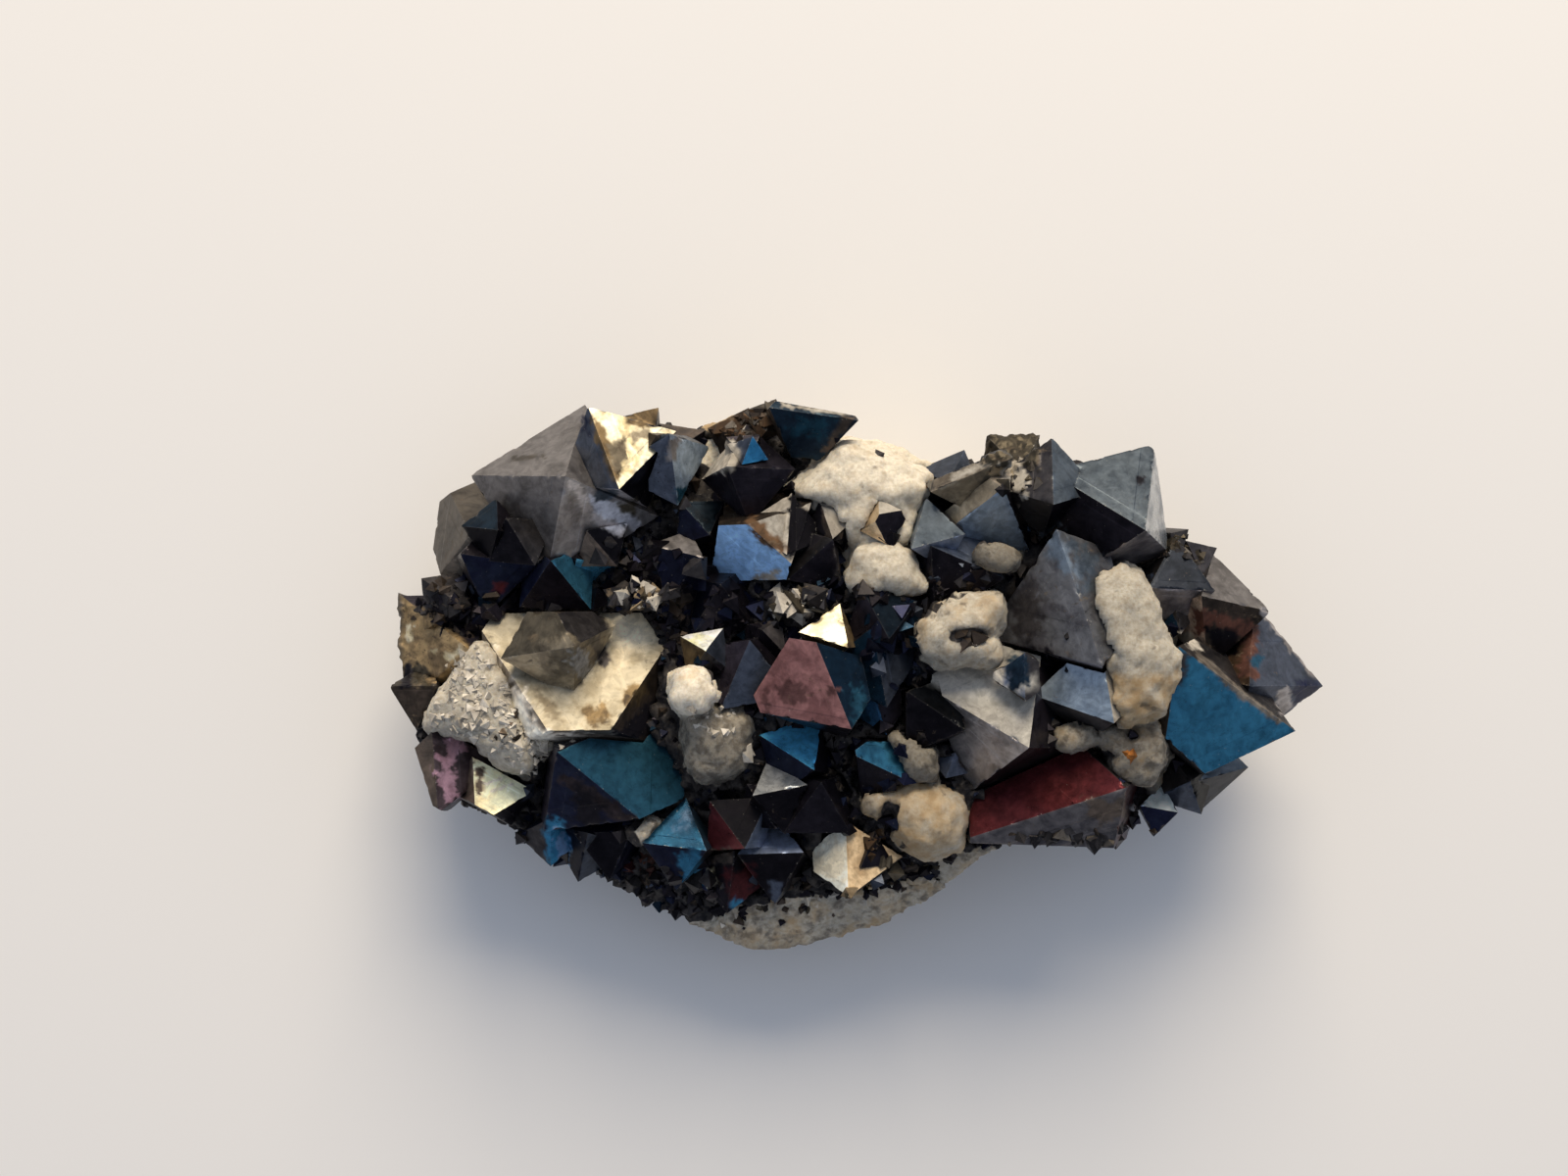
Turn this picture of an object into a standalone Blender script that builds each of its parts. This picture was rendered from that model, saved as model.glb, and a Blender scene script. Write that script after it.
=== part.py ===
"""Magnetite crystals grown together on a lump of pale feldspar rock.

The specimen lies on its flat broken base, +Z up and +X along its length.
The origin is on the base, below the middle of the specimen.
Every crystal is an octahedron. It is set out from one of its faces: the three
corners of that face as they are seen in the photograph, and the height of the
highest of them. A face of an octahedron is an equilateral triangle, so three
seen corners and one height give its lean, its size and all eight faces.
"""
import itertools
import math

import bmesh
import bpy
import numpy as np
from mathutils import Vector, noise

MM = 0.001

# Real sizes
SPECIMEN_LENGTH = 70.0 * MM
EYE_ABOVE_MIDDLE = 163.0 * MM
MIDDLE_HEIGHT = 14.0 * MM
CROWN_HEIGHT = 15.0 * MM
RIM_HEIGHT = 8.5 * MM
ROOT_DEPTH = 2.6 * MM
SOCKET_GAP = 0.3 * MM

# The photograph's frame: its middle, the specimen's middle and its length in pixels
PHOTO_MIDDLE = (800, 600)
SPECIMEN_MIDDLE = (872, 685)
SPECIMEN_PIXELS = 952
PIXEL = SPECIMEN_LENGTH / SPECIMEN_PIXELS
HALF_LENGTH = 0.5 * SPECIMEN_LENGTH
HALF_WIDTH = 0.5 * 563 * PIXEL

EYE = np.array([
    (PHOTO_MIDDLE[0] - SPECIMEN_MIDDLE[0]) * PIXEL,
    (SPECIMEN_MIDDLE[1] - PHOTO_MIDDLE[1]) * PIXEL,
    MIDDLE_HEIGHT + EYE_ABOVE_MIDDLE,
])

for leftover in list(bpy.data.objects):
    bpy.data.objects.remove(leftover, do_unlink=True)


def sight(pixel):
    """The line of sight of a photograph point, long enough to reach the middle height."""
    across = (pixel[0] - PHOTO_MIDDLE[0]) * PIXEL
    up = (PHOTO_MIDDLE[1] - pixel[1]) * PIXEL
    return np.array([across, up, -EYE_ABOVE_MIDDLE])


def spot(pixel, height):
    """The point at a height that is seen at a photograph point."""
    ray = sight(pixel)
    return EYE + ray * (EYE[2] - height) / EYE_ABOVE_MIDDLE


def dome_height(x, y):
    """Height of the rock between the crystals: highest in the middle, lower at the rim."""
    out = min(1.0, (x / HALF_LENGTH) ** 2 + (y / HALF_WIDTH) ** 2)
    return CROWN_HEIGHT - (CROWN_HEIGHT - RIM_HEIGHT) * out


# Crystals


def lifts_of_face(u, v):
    """How far the second and third corners of an equilateral face lie above or below the first.

    u and v are the sides from the first corner, as seen square on to the line of sight.
    """
    uu = u @ u
    vv = v @ v
    uv = u @ v
    spread = uu + vv - uv
    inside = max(0.0, spread ** 2 - 3 * (uu * vv - uv ** 2))
    side_squared = (spread + math.sqrt(inside)) / 1.5
    second = -math.sqrt(max(0.0, side_squared - uu))
    third = math.copysign(math.sqrt(max(0.0, side_squared - vv)), second * (side_squared / 2 - uv))
    if second == 0.0:
        third = -math.sqrt(max(0.0, side_squared - vv))
    if second + third > 0:
        return -second, -third
    return second, third


def face_corners(pixels, top):
    """The three corners of a crystal's face, from where they are seen; the first is the highest."""
    first = spot(pixels[0], top)
    axis = (EYE - first) / np.linalg.norm(EYE - first)
    distance = np.linalg.norm(EYE - first)
    depths = [distance, distance, distance]
    corners = [first, first, first]
    for _ in range(12):
        for index in (1, 2):
            ray = sight(pixels[index])
            corners[index] = EYE + ray * depths[index] / -(ray @ axis)
        flat = [c - first - ((c - first) @ axis) * axis for c in corners]
        lifts = lifts_of_face(flat[1], flat[2])
        depths = [distance, distance - lifts[0], distance - lifts[1]]
    return corners


def octahedron_planes(corners, inset):
    """The eight faces of a crystal, as outward normals and distances, after its insets."""
    p, q, r = corners
    side = (np.linalg.norm(p - q) + np.linalg.norm(q - r) + np.linalg.norm(r - p)) / 3
    middle = (p + q + r) / 3
    normal = np.cross(q - p, r - p)
    normal /= np.linalg.norm(normal)
    if normal @ (EYE - middle) < 0:
        normal = -normal
    depth = side / math.sqrt(6)
    centre = middle - normal * depth
    arms = [corner - centre for corner in corners]
    signs = {
        "front": (1, 1, 1), "ab": (1, 1, -1), "bc": (-1, 1, 1), "ca": (1, -1, 1),
        "a": (1, -1, -1), "b": (-1, 1, -1), "c": (-1, -1, 1), "under": (-1, -1, -1),
    }
    planes = []
    for name, sign in signs.items():
        outward = sign[0] * arms[0] + sign[1] * arms[1] + sign[2] * arms[2]
        outward /= np.linalg.norm(outward)
        distance = outward @ centre + depth * (1 - inset.get(name, 0.0))
        planes.append((outward, distance))
    return planes


def solid_from_planes(planes):
    """The corner points of the convex body inside a set of planes."""
    points = []
    for trio in itertools.combinations(planes, 3):
        normals = np.array([plane[0] for plane in trio])
        if abs(np.linalg.det(normals)) < 1e-6:
            continue
        point = np.linalg.solve(normals, np.array([plane[1] for plane in trio]))
        if all(outward @ point <= distance + 1e-9 for outward, distance in planes):
            points.append(point)
    return points


def convex_mesh(name, planes):
    points = solid_from_planes(planes)
    form = bmesh.new()
    for point in points:
        form.verts.new(point)
    bmesh.ops.remove_doubles(form, verts=form.verts, dist=0.002 * MM)
    hull = bmesh.ops.convex_hull(form, input=form.verts)
    loose = [item for item in hull["geom_interior"] if isinstance(item, bmesh.types.BMVert)]
    bmesh.ops.delete(form, geom=loose, context="VERTS")
    bmesh.ops.dissolve_limit(form, angle_limit=math.radians(0.5), verts=form.verts, edges=form.edges)
    bmesh.ops.recalc_face_normals(form, faces=form.faces)
    mesh = bpy.data.meshes.new(name)
    form.to_mesh(mesh)
    form.free()
    return mesh


def crystal_planes(crystal, grown=0.0):
    corners = face_corners(crystal["corners"], crystal["top"] * MM)
    planes = octahedron_planes(corners, crystal)
    middle = sum(corners) / 3
    root = dome_height(middle[0], middle[1]) - crystal.get("root", ROOT_DEPTH / MM) * MM
    root = min(root, min(corner[2] for corner in corners) - 1.0 * MM)
    planes.append((np.array([0.0, 0.0, -1.0]), -root))
    for pixel, direction in crystal.get("cuts", []):
        turn = math.radians(direction)
        outward = np.array([math.cos(turn), math.sin(turn), 0.0])
        planes.append((outward, outward @ spot(pixel, MIDDLE_HEIGHT)))
    return [(outward, distance + grown) for outward, distance in planes]


def material(name, colour, roughness, metallic):
    made = bpy.data.materials.new(name)
    made.use_nodes = True
    shader = made.node_tree.nodes["Principled BSDF"]
    shader.inputs["Base Color"].default_value = (*colour, 1.0)
    shader.inputs["Roughness"].default_value = roughness
    shader.inputs["Metallic"].default_value = metallic
    made.diffuse_color = (*colour, 1.0)
    return made


def add_object(name, mesh):
    made = bpy.data.objects.new(name, mesh)
    bpy.context.scene.collection.objects.link(made)
    return made


def baked(made):
    """Applies an object's modifiers to its mesh."""
    graph = bpy.context.evaluated_depsgraph_get()
    mesh = bpy.data.meshes.new_from_object(made.evaluated_get(graph))
    made.modifiers.clear()
    made.data = mesh
    return made


def combine(made, others, operation):
    """Joins solids to one, or cuts them from it."""
    for other in others:
        step = made.modifiers.new(operation.lower(), "BOOLEAN")
        step.operation = operation
        step.solver = "EXACT"
        step.object = other
    baked(made)
    for other in others:
        bpy.data.objects.remove(other, do_unlink=True)
    return made


def cluster(name, crystals, grown=0.0):
    """Crystals that grew through each other, as one solid."""
    bodies = []
    for number, crystal in enumerate(crystals):
        mesh = convex_mesh(f"{name}_{number}", crystal_planes(crystal, grown))
        bodies.append(add_object(f"{name}_{number}", mesh))
    first = bodies[0]
    combine(first, bodies[1:], "UNION")
    first.name = name
    return first


# Each group of crystals that grew through each other, with the highest point of every
# crystal's face in mm and the face's corners; a, b, c, ab, bc and ca are the parts by which
# the faces round it stand further in, and cuts are where a crystal stops at a neighbour.
CLUSTERS = {
    "big_grey_crystals": [
        dict(top=20, corners=[(577, 486), (480, 485), (597, 413)]),
        dict(top=19.5, corners=[(632, 499), (600, 415), (690, 440)]),
        dict(top=15, corners=[(480, 545), (452, 488), (436, 604)],
             cuts=[((460, 496), 118), ((444, 590), 205)]),
        dict(top=17.5, corners=[(508, 541), (470, 537), (507, 508)]),
        dict(top=17, corners=[(546, 577), (516, 528), (566, 531)]),
        dict(top=16, corners=[(470, 565), (548, 577), (497, 627)]),
        dict(top=15, corners=[(588, 570), (630, 577), (583, 607)]),
        dict(top=16, corners=[(598, 541), (630, 578), (588, 578)]),
        dict(top=16.5, corners=[(562, 572), (603, 622), (530, 620)]),
        dict(top=13.5, corners=[(668, 446), (636, 424), (672, 416)]),
        dict(top=13.5, corners=[(696, 454), (672, 432), (720, 439)]),
    ],
    "pitted_steel_blue_crystal": [
        dict(top=16.2, corners=[(692, 516), (683, 443), (724, 456)],
             cuts=[((664, 480), 180), ((700, 445), 95)]),
    ],
    "bronze_crystals": [
        dict(top=14, corners=[(480, 664), (410, 608), (412, 716)]),
        dict(top=13, corners=[(446, 700), (397, 700), (425, 745)]),
        dict(top=14, corners=[(472, 618), (430, 590), (434, 642)]),
        dict(top=14.5, corners=[(497, 622), (474, 592), (470, 655)]),
    ],
    "pale_gold_crystals": [
        dict(top=20, corners=[(591, 794), (480, 626), (702, 625)], a=0.56, b=0.22, c=0.43),
        dict(top=20, corners=[(585, 660), (511, 672), (586, 714)], cuts=[((575, 624), 90)]),
    ],
    "plum_and_gold_crystals": [
        dict(top=14, corners=[(440, 738), (447, 830), (512, 779)], a=0.2, b=0.1, cuts=[((430, 787), 200)]),
        dict(top=14.5, corners=[(486, 842), (545, 807), (482, 772)], a=0.6),
    ],
    "teal_crystals": [
        dict(top=18, corners=[(568, 767), (700, 713), (697, 872)], c=0.7),
        dict(top=13, corners=[(600, 850), (556, 840), (590, 900)]),
        dict(top=13, corners=[(645, 848), (585, 850), (622, 898)]),
        dict(top=12, corners=[(562, 835), (528, 852), (562, 884)]),
    ],
    "lower_blue_and_red_crystals": [
        dict(top=16, corners=[(721, 868), (655, 860), (700, 814)]),
        dict(top=15.5, corners=[(724, 817), (760, 866), (722, 868)]),
        dict(top=13, corners=[(750, 868), (795, 892), (742, 932)]),
        dict(top=14.5, corners=[(820, 870), (752, 872), (790, 828)]),
        dict(top=12, corners=[(722, 910), (722, 884), (738, 897)]),
        dict(top=17, corners=[(831, 786), (840, 728), (775, 750)]),
        dict(top=17, corners=[(768, 812), (824, 801), (784, 774)]),
        dict(top=17, corners=[(838, 798), (800, 850), (868, 850)]),
        dict(top=15.2, corners=[(762, 800), (792, 846), (752, 842)]),
    ],
    "copper_and_dark_blue_crystals": [
        dict(top=20.5, corners=[(821, 626), (869, 744), (760, 724)], a=0.5, c=0.3, cuts=[((884, 702), 12)]),
        dict(top=20, corners=[(866, 661), (857, 616), (815, 645)]),
        dict(top=18.5, corners=[(890, 640), (942, 662), (905, 722)]),
        dict(top=17.5, corners=[(905, 603), (950, 612), (928, 660)]),
        dict(top=16.5, corners=[(890, 700), (937, 705), (905, 750)]),
        dict(top=18, corners=[(880, 600), (907, 652), (860, 655)]),
        dict(top=18, corners=[(765, 653), (718, 660), (735, 724)]),
        dict(top=18, corners=[(720, 664), (694, 649), (738, 641)]),
        dict(top=17, corners=[(778, 643), (802, 668), (763, 673)]),
    ],
    "small_peacock_crystal": [
        dict(top=16.5, corners=[(868, 769), (927, 797), (915, 735)], a=0.2, cuts=[((897, 755), 82)]),
    ],
    "light_blue_and_black_crystals": [
        dict(top=19, corners=[(737, 511), (825, 591), (725, 593)], a=0.6, cuts=[((806, 580), -18)]),
        dict(top=17.5, corners=[(718, 569), (662, 556), (704, 541)]),
        dict(top=16.5, corners=[(724, 546), (690, 556), (694, 512)]),
        dict(top=19, corners=[(742, 476), (812, 479), (765, 536)]),
        dict(top=18.5, corners=[(757, 474), (784, 469), (768, 445)]),
        dict(top=17.8, corners=[(764, 471), (741, 446), (776, 443)]),
        dict(top=18, corners=[(803, 566), (808, 503), (845, 548)]),
        dict(top=17, corners=[(850, 550), (836, 510), (822, 548)]),
        dict(top=17, corners=[(850, 550), (860, 602), (803, 592)]),
        dict(top=17, corners=[(735, 596), (772, 642), (703, 650)]),
        dict(top=17, corners=[(690, 573), (705, 642), (640, 604)]),
    ],
    "teal_black_top_crystals": [
        dict(top=17.5, corners=[(785, 416), (876, 429), (817, 490)], c=0.64, cuts=[((832, 420), 80)]),
        dict(top=15, corners=[(782, 440), (757, 420), (792, 407)]),
        dict(top=14.5, corners=[(762, 446), (722, 437), (764, 416)]),
    ],
    "dark_crystal_in_the_white_rock": [
        dict(top=18.6, corners=[(890, 526), (930, 519), (908, 562)], a=0.35, b=0.5, c=0.35),
    ],
    "slate_and_mottled_crystals": [
        dict(top=18.5, corners=[(1078, 540), (1005, 650), (1125, 680)], cuts=[((1134, 600), 12)]),
        dict(top=20.5, corners=[(1169, 541), (1070, 481), (1179, 453)], c=0.12),
        dict(top=20, corners=[(1075, 515), (1014, 496), (1073, 446)]),
        dict(top=19, corners=[(1024, 498), (940, 561), (1052, 565)], cuts=[((966, 520), 127)]),
        dict(top=18.5, corners=[(950, 502), (1030, 468), (1005, 530)], cuts=[((985, 478), 112)]),
        dict(top=17.5, corners=[(950, 557), (1025, 590), (955, 635)]),
        dict(top=17.5, corners=[(930, 560), (945, 508), (985, 545)]),
        dict(top=14.5, corners=[(968, 492), (935, 480), (984, 459)]),
        dict(top=15.5, corners=[(1040, 478), (1008, 446), (1060, 445)]),
    ],
    "silver_crystals": [
        dict(top=20, corners=[(1050, 763), (935, 694), (1066, 640)], b=0.25),
        dict(top=20, corners=[(1046, 666), (1012, 690), (1046, 716)], cuts=[((1052, 690), 0)]),
        dict(top=17, corners=[(925, 705), (985, 745), (925, 770)]),
        dict(top=19.6, corners=[(1137, 738), (1054, 709), (1121, 647)]),
        dict(top=15, corners=[(965, 794), (988, 789), (975, 768)]),
    ],
    "dark_red_crystals": [
        dict(top=14.5, corners=[(978, 858), (1150, 803), (1038, 703)],
             cuts=[((1080, 862), 268), ((989, 830), 180)]),
        dict(top=13, corners=[(1152, 845), (1103, 835), (1122, 808)], cuts=[((1120, 860), 268)]),
    ],
    "right_end_crystals": [
        dict(top=18, corners=[(1203, 660), (1322, 746), (1181, 813)], cuts=[((1211, 775), 229)]),
        dict(top=16, corners=[(1275, 700), (1280, 614), (1350, 700)]),
        dict(top=16, corners=[(1172, 600), (1240, 603), (1200, 548)]),
        dict(top=16, corners=[(1226, 608), (1238, 565), (1297, 624)]),
        dict(top=13.5, corners=[(1206, 569), (1186, 546), (1213, 540)]),
        dict(top=13, corners=[(1228, 590), (1211, 552), (1242, 559)]),
        dict(top=14.5, corners=[(1195, 600), (1232, 612), (1205, 647)]),
        dict(top=13, corners=[(1215, 797), (1175, 815), (1226, 831)]),
        dict(top=12, corners=[(1222, 797), (1222, 830), (1274, 783)]),
        dict(top=12.5, corners=[(1202, 829), (1163, 822), (1186, 800)]),
    ],
    "silver_prism_crystals": [
        dict(top=15, corners=[(866, 915), (863, 838), (815, 878)], c=0.6),
        dict(top=13.5, corners=[(893, 848), (878, 886), (912, 882)]),
    ],
    "small_dark_rim_crystal": [
        dict(top=12.5, corners=[(930, 866), (905, 905), (962, 897)]),
    ],
}

# The groups that grew up against an earlier one and stop short of it
STOPPED_BY = {
    "small_peacock_crystal": ["copper_and_dark_blue_crystals", "silver_crystals"],
    "pitted_steel_blue_crystal": ["big_grey_crystals", "light_blue_and_black_crystals"],
    "bronze_crystals": ["big_grey_crystals", "pale_gold_crystals"],
    "teal_crystals": ["pale_gold_crystals", "lower_blue_and_red_crystals"],
    "lower_blue_and_red_crystals": ["silver_prism_crystals"],
    "copper_and_dark_blue_crystals": ["silver_crystals", "light_blue_and_black_crystals",
                                      "slate_and_mottled_crystals", "lower_blue_and_red_crystals"],
    "silver_crystals": ["slate_and_mottled_crystals", "right_end_crystals"],
    "dark_red_crystals": ["silver_crystals", "right_end_crystals"],
    "right_end_crystals": ["slate_and_mottled_crystals"],
    "silver_prism_crystals": ["small_dark_rim_crystal"],
}

# Rock

# The rock's widest outline, clockwise from the left, as seen in the photograph
ROCK_OUTLINE = [
    (425, 735), (430, 690), (440, 640), (465, 600), (475, 560), (490, 520), (540, 490),
    (600, 455), (660, 438), (720, 438), (760, 425), (800, 430), (850, 445), (900, 455),
    (945, 475), (1010, 475), (1080, 475), (1150, 490), (1170, 540), (1200, 560),
    (1240, 590), (1280, 640), (1305, 690), (1290, 740), (1250, 780), (1200, 810),
    (1140, 845), (1080, 855), (1030, 855), (1000, 868), (955, 905), (900, 938),
    (850, 952), (800, 962), (765, 965), (735, 953), (670, 922), (610, 888), (560, 870),
    (510, 838), (460, 808), (435, 775),
]
# How much of the outline each level of the rock's broken side reaches, and its height
SIDE_LEVELS = [(0.56, 0.0), (0.68, 1.3), (0.82, 3.4), (0.93, 5.8)]
# The rings of its domed top, as parts of the outline
TOP_RINGS = [1.0, 0.88, 0.74, 0.6, 0.45, 0.3, 0.15]
SIDE_ROUGHNESS = 0.9 * MM
TOP_ROUGHNESS = 0.5 * MM

# Masses of white and tan feldspar among the crystals: their outlines, the height of each and
# how much lower its edge lies, both in mm
MASSES = {
    "top_white": dict(top=17.0, drop=2.6, outline=[
        (838, 470), (862, 452), (900, 457), (940, 478), (966, 492), (950, 503), (938, 522), (936, 556),
        (915, 560), (890, 562), (862, 556), (842, 548), (836, 520), (812, 508), (803, 498), (820, 485)]),
    "white_block": dict(top=17.8, drop=1.4, outline=[
        (872, 562), (905, 556), (930, 566), (945, 600), (925, 606), (900, 602), (880, 606), (868, 592)]),
    "left_white": dict(top=15.8, drop=1.8, outline=[
        (478, 662), (500, 655), (520, 685), (540, 722), (556, 748), (592, 756), (560, 768), (545, 772),
        (540, 790), (505, 782), (482, 756), (445, 748), (430, 740), (438, 718), (455, 700), (470, 682)]),
    "middle_nugget": dict(top=19.4, drop=1.6, outline=[
        (688, 690), (705, 682), (722, 688), (728, 708), (718, 726), (700, 730), (686, 716)]),
    "middle_white": dict(top=16.9, drop=1.8, outline=[
        (700, 728), (725, 720), (748, 722), (762, 735), (762, 765), (752, 790), (735, 798), (715, 795),
        (702, 780), (698, 755)]),
    "cream": dict(top=19.2, drop=1.6, outline=[
        (940, 640), (962, 620), (995, 606), (1022, 608), (1026, 630), (1015, 650), (1024, 672),
        (1010, 684), (985, 680), (960, 678), (942, 664)]),
    "vein": dict(top=19.8, drop=1.4, outline=[
        (1112, 612), (1120, 590), (1150, 580), (1166, 584), (1184, 618), (1196, 655), (1207, 672),
        (1205, 690), (1196, 712), (1188, 730), (1152, 740), (1132, 736), (1138, 710), (1133, 680),
        (1126, 650), (1116, 636)]),
    "knobs_below_the_vein": dict(top=17.3, drop=1.6, outline=[
        (1128, 742), (1150, 738), (1180, 735), (1197, 745), (1193, 778), (1176, 800), (1152, 804),
        (1136, 790), (1140, 770), (1126, 760)]),
    "tan_knob": dict(top=15.8, drop=2.2, outline=[
        (908, 808), (930, 800), (960, 803), (982, 818), (990, 842), (978, 868), (955, 878), (930, 872),
        (912, 852), (905, 830)]),
    "small_tan_knob": dict(top=15.2, drop=1.2, outline=[
        (878, 812), (900, 802), (915, 812), (912, 830), (898, 836), (884, 830)]),
    "tan_strip": dict(top=13.8, drop=1.2, outline=[
        (862, 868), (880, 852), (893, 862), (897, 885), (900, 905), (880, 915), (866, 905)]),
    "pinkish": dict(top=16.5, drop=1.4, outline=[
        (908, 752), (930, 748), (948, 762), (960, 785), (955, 800), (932, 798), (915, 780)]),
    "beige_chip": dict(top=18.4, drop=0.8, outline=[
        (998, 560), (1020, 557), (1042, 565), (1038, 578), (1012, 578), (1000, 572)]),
    "beige_crumbs": dict(top=17.4, drop=1.0, outline=[
        (1025, 480), (1045, 476), (1055, 490), (1048, 508), (1030, 506)]),
    "white_nugget": dict(top=18.3, drop=1.2, outline=[
        (718, 458), (735, 446), (752, 460), (752, 474), (735, 482), (720, 474)]),
    "rusty_ridge": dict(top=14.2, drop=1.2, outline=[
        (722, 438), (750, 426), (785, 424), (790, 440), (765, 446), (735, 446)]),
    "beige_grains": dict(top=16.2, drop=1.0, outline=[
        (632, 605), (650, 592), (668, 598), (672, 612), (655, 622), (638, 618)]),
    "white_under_teal": dict(top=14.8, drop=1.0, outline=[
        (632, 846), (650, 838), (672, 838), (680, 848), (665, 858), (640, 856)]),
    "grey_grains": dict(top=16.0, drop=1.0, outline=[
        (785, 612), (800, 600), (830, 598), (848, 606), (845, 622), (820, 632), (795, 628)]),
    "grey_knob": dict(top=16.8, drop=1.0, outline=[
        (1062, 752), (1090, 745), (1125, 742), (1128, 756), (1105, 765), (1075, 764)]),
}
# The rings of a mass: part of its outline, and part of its drop in height
MASS_RINGS = [(1.0, 1.0), (0.86, 0.5), (0.6, 0.2), (0.3, 0.0)]
MASS_FOOT = 1.1
MASS_DEPTH = 6.0 * MM
MASS_ROUGHNESS = 0.35 * MM


# Groups whose first crystal's face lies bare, and how deep the rock is broken away before it, as a
# part of the depth of its octahedron
BARED = {"pale_gold_crystals": 0.35, "silver_crystals": 0.3}


def crumple(point, size, grain):
    """A point pushed about by smooth noise, for a broken or lumpy surface."""
    return point + noise.noise_vector(point / grain) * size


def rock_body():
    """The lump of rock: a flat base, a broken side widening upwards and a domed top."""
    form = bmesh.new()
    middle = spot(SPECIMEN_MIDDLE, RIM_HEIGHT)
    edge = [spot(pixel, RIM_HEIGHT) for pixel in ROCK_OUTLINE]
    rings = []
    for part, height in SIDE_LEVELS:
        ring = []
        for corner in edge:
            point = Vector((*(middle + (corner - middle) * part)[:2], height * MM))
            if height > 0:
                point = crumple(point, SIDE_ROUGHNESS, 4.0 * MM)
            ring.append(form.verts.new(point))
        rings.append(ring)
    for part in TOP_RINGS:
        ring = []
        for corner in edge:
            x, y = (middle + (corner - middle) * part)[:2]
            point = Vector((x, y, dome_height(x, y)))
            ring.append(form.verts.new(crumple(point, TOP_ROUGHNESS, 3.0 * MM)))
        rings.append(ring)
    for lower, upper in zip(rings, rings[1:]):
        for index in range(len(edge)):
            after = (index + 1) % len(edge)
            form.faces.new((lower[index], lower[after], upper[after], upper[index]))
    form.faces.new(rings[0])
    form.faces.new(rings[-1])
    bmesh.ops.triangulate(form, faces=form.faces)
    bmesh.ops.recalc_face_normals(form, faces=form.faces)
    mesh = bpy.data.meshes.new("rock")
    form.to_mesh(mesh)
    form.free()
    return add_object("rock", mesh)


def mass_body(name, mass):
    """One mass of feldspar: a steep side from deep in the rock and a rounded, uneven top."""
    form = bmesh.new()
    top = mass["top"] * MM
    edge = [Vector(spot(pixel, top)) for pixel in mass["outline"]]
    middle = sum(edge, Vector()) / len(edge)
    levels = [(MASS_FOOT, top - MASS_DEPTH)]
    levels += [(part, top - drop * mass["drop"] * MM) for part, drop in MASS_RINGS]
    rings = []
    for part, height in levels:
        ring = []
        for corner in edge:
            point = middle + (corner - middle) * part
            point.z = height
            ring.append(form.verts.new(crumple(point, MASS_ROUGHNESS, 1.8 * MM)))
        rings.append(ring)
    for lower, upper in zip(rings, rings[1:]):
        for index in range(len(edge)):
            after = (index + 1) % len(edge)
            form.faces.new((lower[index], lower[after], upper[after], upper[index]))
    form.faces.new(rings[0])
    form.faces.new(rings[-1])
    bmesh.ops.triangulate(form, faces=form.faces)
    bmesh.ops.recalc_face_normals(form, faces=form.faces)
    mesh = bpy.data.meshes.new(name)
    form.to_mesh(mesh)
    form.free()
    return add_object(name, mesh)


def largest_body(made):
    """Keeps an object's largest connected body and drops the crumbs."""
    form = bmesh.new()
    form.from_mesh(made.data)
    left = set(form.verts)
    bodies = []
    while left:
        body = set()
        edge_of_body = {left.pop()}
        while edge_of_body:
            body |= edge_of_body
            reached = {edge.other_vert(vert) for vert in edge_of_body for edge in vert.link_edges}
            edge_of_body = reached - body
        left -= body
        bodies.append(body)
    bodies.sort(key=len)
    crumbs = [vert for body in bodies[:-1] for vert in body]
    bmesh.ops.delete(form, geom=crumbs, context="VERTS")
    form.to_mesh(made.data)
    form.free()


# The general colour and roughness of each group's metallic faces
FINISHES = {
    "big_grey_crystals": ("lilac_grey_iron", (0.24, 0.24, 0.26), 0.32),
    "pitted_steel_blue_crystal": ("pitted_steel_blue", (0.26, 0.32, 0.38), 0.35),
    "bronze_crystals": ("rough_bronze", (0.3, 0.26, 0.19), 0.5),
    "pale_gold_crystals": ("pale_gold", (0.62, 0.58, 0.46), 0.3),
    "plum_and_gold_crystals": ("plum_and_gold", (0.34, 0.28, 0.28), 0.3),
    "teal_crystals": ("deep_teal", (0.04, 0.11, 0.14), 0.3),
    "lower_blue_and_red_crystals": ("blue_black", (0.05, 0.1, 0.15), 0.3),
    "copper_and_dark_blue_crystals": ("copper_pink", (0.28, 0.14, 0.12), 0.35),
    "light_blue_and_black_crystals": ("light_blue_on_black", (0.12, 0.2, 0.3), 0.3),
    "teal_black_top_crystals": ("teal_black", (0.03, 0.05, 0.07), 0.3),
    "dark_crystal_in_the_white_rock": ("iron_black", (0.03, 0.03, 0.04), 0.3),
    "slate_and_mottled_crystals": ("mottled_slate", (0.16, 0.2, 0.24), 0.35),
    "small_peacock_crystal": ("small_peacock_blue", (0.04, 0.16, 0.28), 0.3),
    "silver_crystals": ("silver_white", (0.55, 0.54, 0.5), 0.25),
    "dark_red_crystals": ("dark_red_black", (0.08, 0.03, 0.03), 0.3),
    "right_end_crystals": ("peacock_blue", (0.03, 0.13, 0.24), 0.3),
    "silver_prism_crystals": ("bright_silver", (0.6, 0.58, 0.52), 0.22),
    "small_dark_rim_crystal": ("rim_black", (0.06, 0.06, 0.06), 0.4),
}
ROCK_FINISH = ("pale_feldspar_rock", (0.66, 0.61, 0.54), 0.85)


def finish(made, name, colour, roughness, metallic):
    """Gives an object its one material."""
    made.data.materials.clear()
    made.data.materials.append(material(name, colour, roughness, metallic))


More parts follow.
